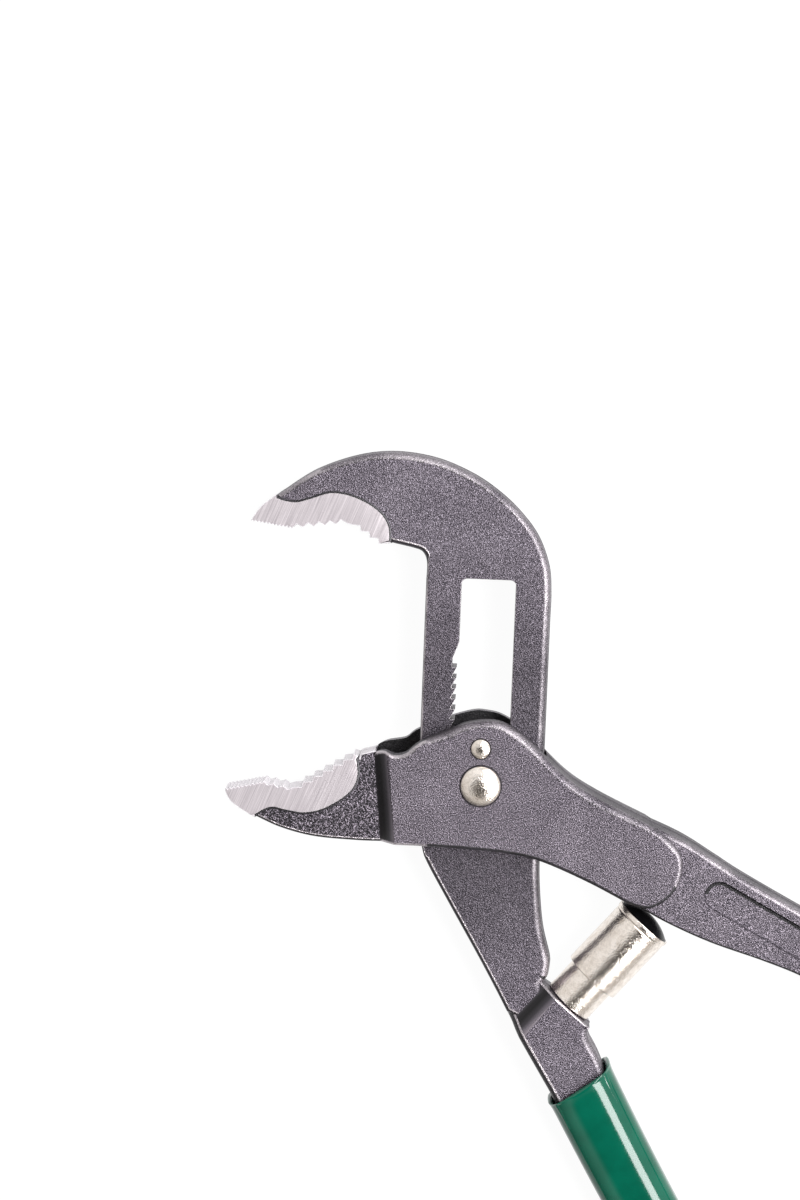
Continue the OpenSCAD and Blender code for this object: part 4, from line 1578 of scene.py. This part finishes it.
@dataclass(frozen=True)
class Lamp:
    """A rectangular area lamp that points at the tool.

    Its place, size and aim are in metres, its power in watts, and its turn is the heading in plan of its
    length, in degrees.
    """

    name: str
    place: Place
    size: Point
    power: float
    turn: float
    aim: Place = (0.03, -0.03, 0.0)

    def build(self) -> None:
        """Hangs the lamp."""
        light = bpy.data.lights.new(self.name, "AREA")
        light.shape, light.size, light.size_y, light.energy = "RECTANGLE", *self.size, self.power
        back = (Vector(self.place) - Vector(self.aim)).normalized()
        across = Vector((*heading(self.turn), 0.0)).cross(back).normalized()
        made = linked(self.name, light)
        made.matrix_world = posed(Vector(self.place), across, back.cross(across), back)


@dataclass
class Studio:
    """Floor, light and camera of the photograph. Eye and target are in millimetres."""

    eye: Place = (2.2, 95.0, 600.0)
    target: Place = (-19.292, 43.93, 13.15)
    lens: float = 74.4
    sensor: float = 36.0
    floor_size: float = 4.0
    floor_height: float = -0.0002
    bright_side: Place = (0.35, 0.70, 0.62)
    dark_spot: Place = (0.03, -0.22, 0.975)
    key: Lamp = Lamp("key", (0.6, 0.65, 0.75), (0.5, 0.5), 6.0, 45.0)
    strip: Lamp = Lamp("strip", (0.60, -0.115, 0.9), (0.42, 1.0), 19.5, -62.6)

    def camera(self) -> None:
        """A camera at the eye that looks at the target with +Y up."""
        eye, target = Vector(self.eye) * MM, Vector(self.target) * MM
        ahead = (target - eye).normalized()
        right = ahead.cross(Vector((0, 1, 0))).normalized()
        lens = bpy.data.cameras.new("camera")
        lens.lens, lens.sensor_width, lens.sensor_fit = self.lens, self.sensor, "AUTO"
        lens.clip_start, lens.clip_end = 0.01, 20.0
        made = linked("camera", lens)
        made.matrix_world = posed(eye, right, right.cross(ahead), -ahead)
        bpy.context.scene.camera = made

    def floor(self) -> None:
        """A sheet of paper under the tool: it glows white to the camera and in mirrors, and its matt
        share shows the tool's shadow."""
        h, z = self.floor_size / 2, self.floor_height
        mesh = bpy.data.meshes.new("floor")
        mesh.from_pydata([(-h, -h, z), (h, -h, z), (h, h, z), (-h, h, z)], [], [(0, 1, 2, 3)])
        paper = bpy.data.materials.new("white_paper")
        tree = empty_tree(paper)
        path = add(tree, "LightPath").node.outputs
        seen = add(tree, "Math", {0: path["Is Camera Ray"], 1: path["Is Glossy Ray"]},
                   operation="MAXIMUM")
        seen = add(tree, "Math", {0: seen, 1: path["Is Transmission Ray"]}, operation="MAXIMUM")
        share = add(tree, "Math", {0: seen, 1: 0.9}, operation="MULTIPLY")
        matt = add(tree, "BsdfDiffuse", {"Color": linear("#D8D8D8")})
        glow = add(tree, "Emission", {"Color": linear("#FFFFFF"), "Strength": 1.06})
        add(tree, "OutputMaterial", {"Surface": add(tree, "MixShader", {0: share, 1: matt, 2: glow})})
        mesh.materials.append(paper)
        linked("floor", mesh)

    def world(self) -> None:
        """A pale room: bright towards the key lamp, grey on the far side, with a dark spot behind the
        camera. Mirrors see it twice as bright as matt faces do, and the camera sees white."""
        room = bpy.data.worlds.new("room")
        tree = empty_tree(room)
        place = add(tree, "TexCoord", out="Generated")
        near = add(tree, "VectorMath", {0: place, 1: self.dark_spot}, "Value", operation="DOT_PRODUCT")
        side = add(tree, "VectorMath", {0: place, 1: self.bright_side}, "Value", operation="DOT_PRODUCT")
        side = add(tree, "Math", {0: side, 1: 0.5, 2: 0.5}, operation="MULTIPLY_ADD")
        walls = add(tree, "ValToRGB", {"Fac": side},
                    stops=((0.1, "#3A3836"), (0.9, "#FFFFFF"), (0.47, "#DAD6D2")))
        ceiling = add(tree, "ValToRGB", {"Fac": near}, stops=((0.885, "#FFFFFF"), (0.965, "#4A4744")))
        colour = add(tree, "Mix", {"Factor": 1.0, "A": walls, "B": ceiling}, "Result", data_type="RGBA",
                     blend_type="MULTIPLY")
        path = add(tree, "LightPath").node.outputs
        power = add(tree, "Math", {0: path["Is Glossy Ray"], 1: 0.5, 2: 0.5}, operation="MULTIPLY_ADD")
        lit = add(tree, "Background", {"Color": colour, "Strength": power})
        seen = add(tree, "Background", {"Color": linear("#FFFFFF"), "Strength": 1.0})
        both = add(tree, "MixShader", {0: path["Is Camera Ray"], 1: lit, 2: seen})
        add(tree, "OutputWorld", {"Surface": both})
        bpy.context.scene.world = room

    def build(self) -> None:
        """Sets up the view, the floor and the light."""
        bpy.context.scene.view_settings.view_transform = "Standard"
        self.camera()
        self.floor()
        self.world()
        self.key.build()
        self.strip.build()


def main() -> None:
    """Builds every piece, then the studio."""
    logging.basicConfig(level=logging.INFO)
    LowerJaw().build()
    UpperJaw().build()
    Rivet("pivot_rivet_domed", "pivot_rivet", rise=0.0, shank=7.0, head=9.7, head_height=1.7).build()
    Rivet("stop_rivet_domed", "stop_rivet", rise=STOP_RISE, shank=3.2, head=4.7, head_height=0.9).build()
    Plunger().build()
    Grip("handle_grip_sleeve", "handle_grip", Body.LOWER, HANDLE_TANG).build()
    Grip("arm_grip_sleeve", "arm_grip", Body.UPPER, ARM_TANG, turn=-LEAN).build()
    InnerParts().build()
    Studio().build()


if __name__ == "__main__":
    main()
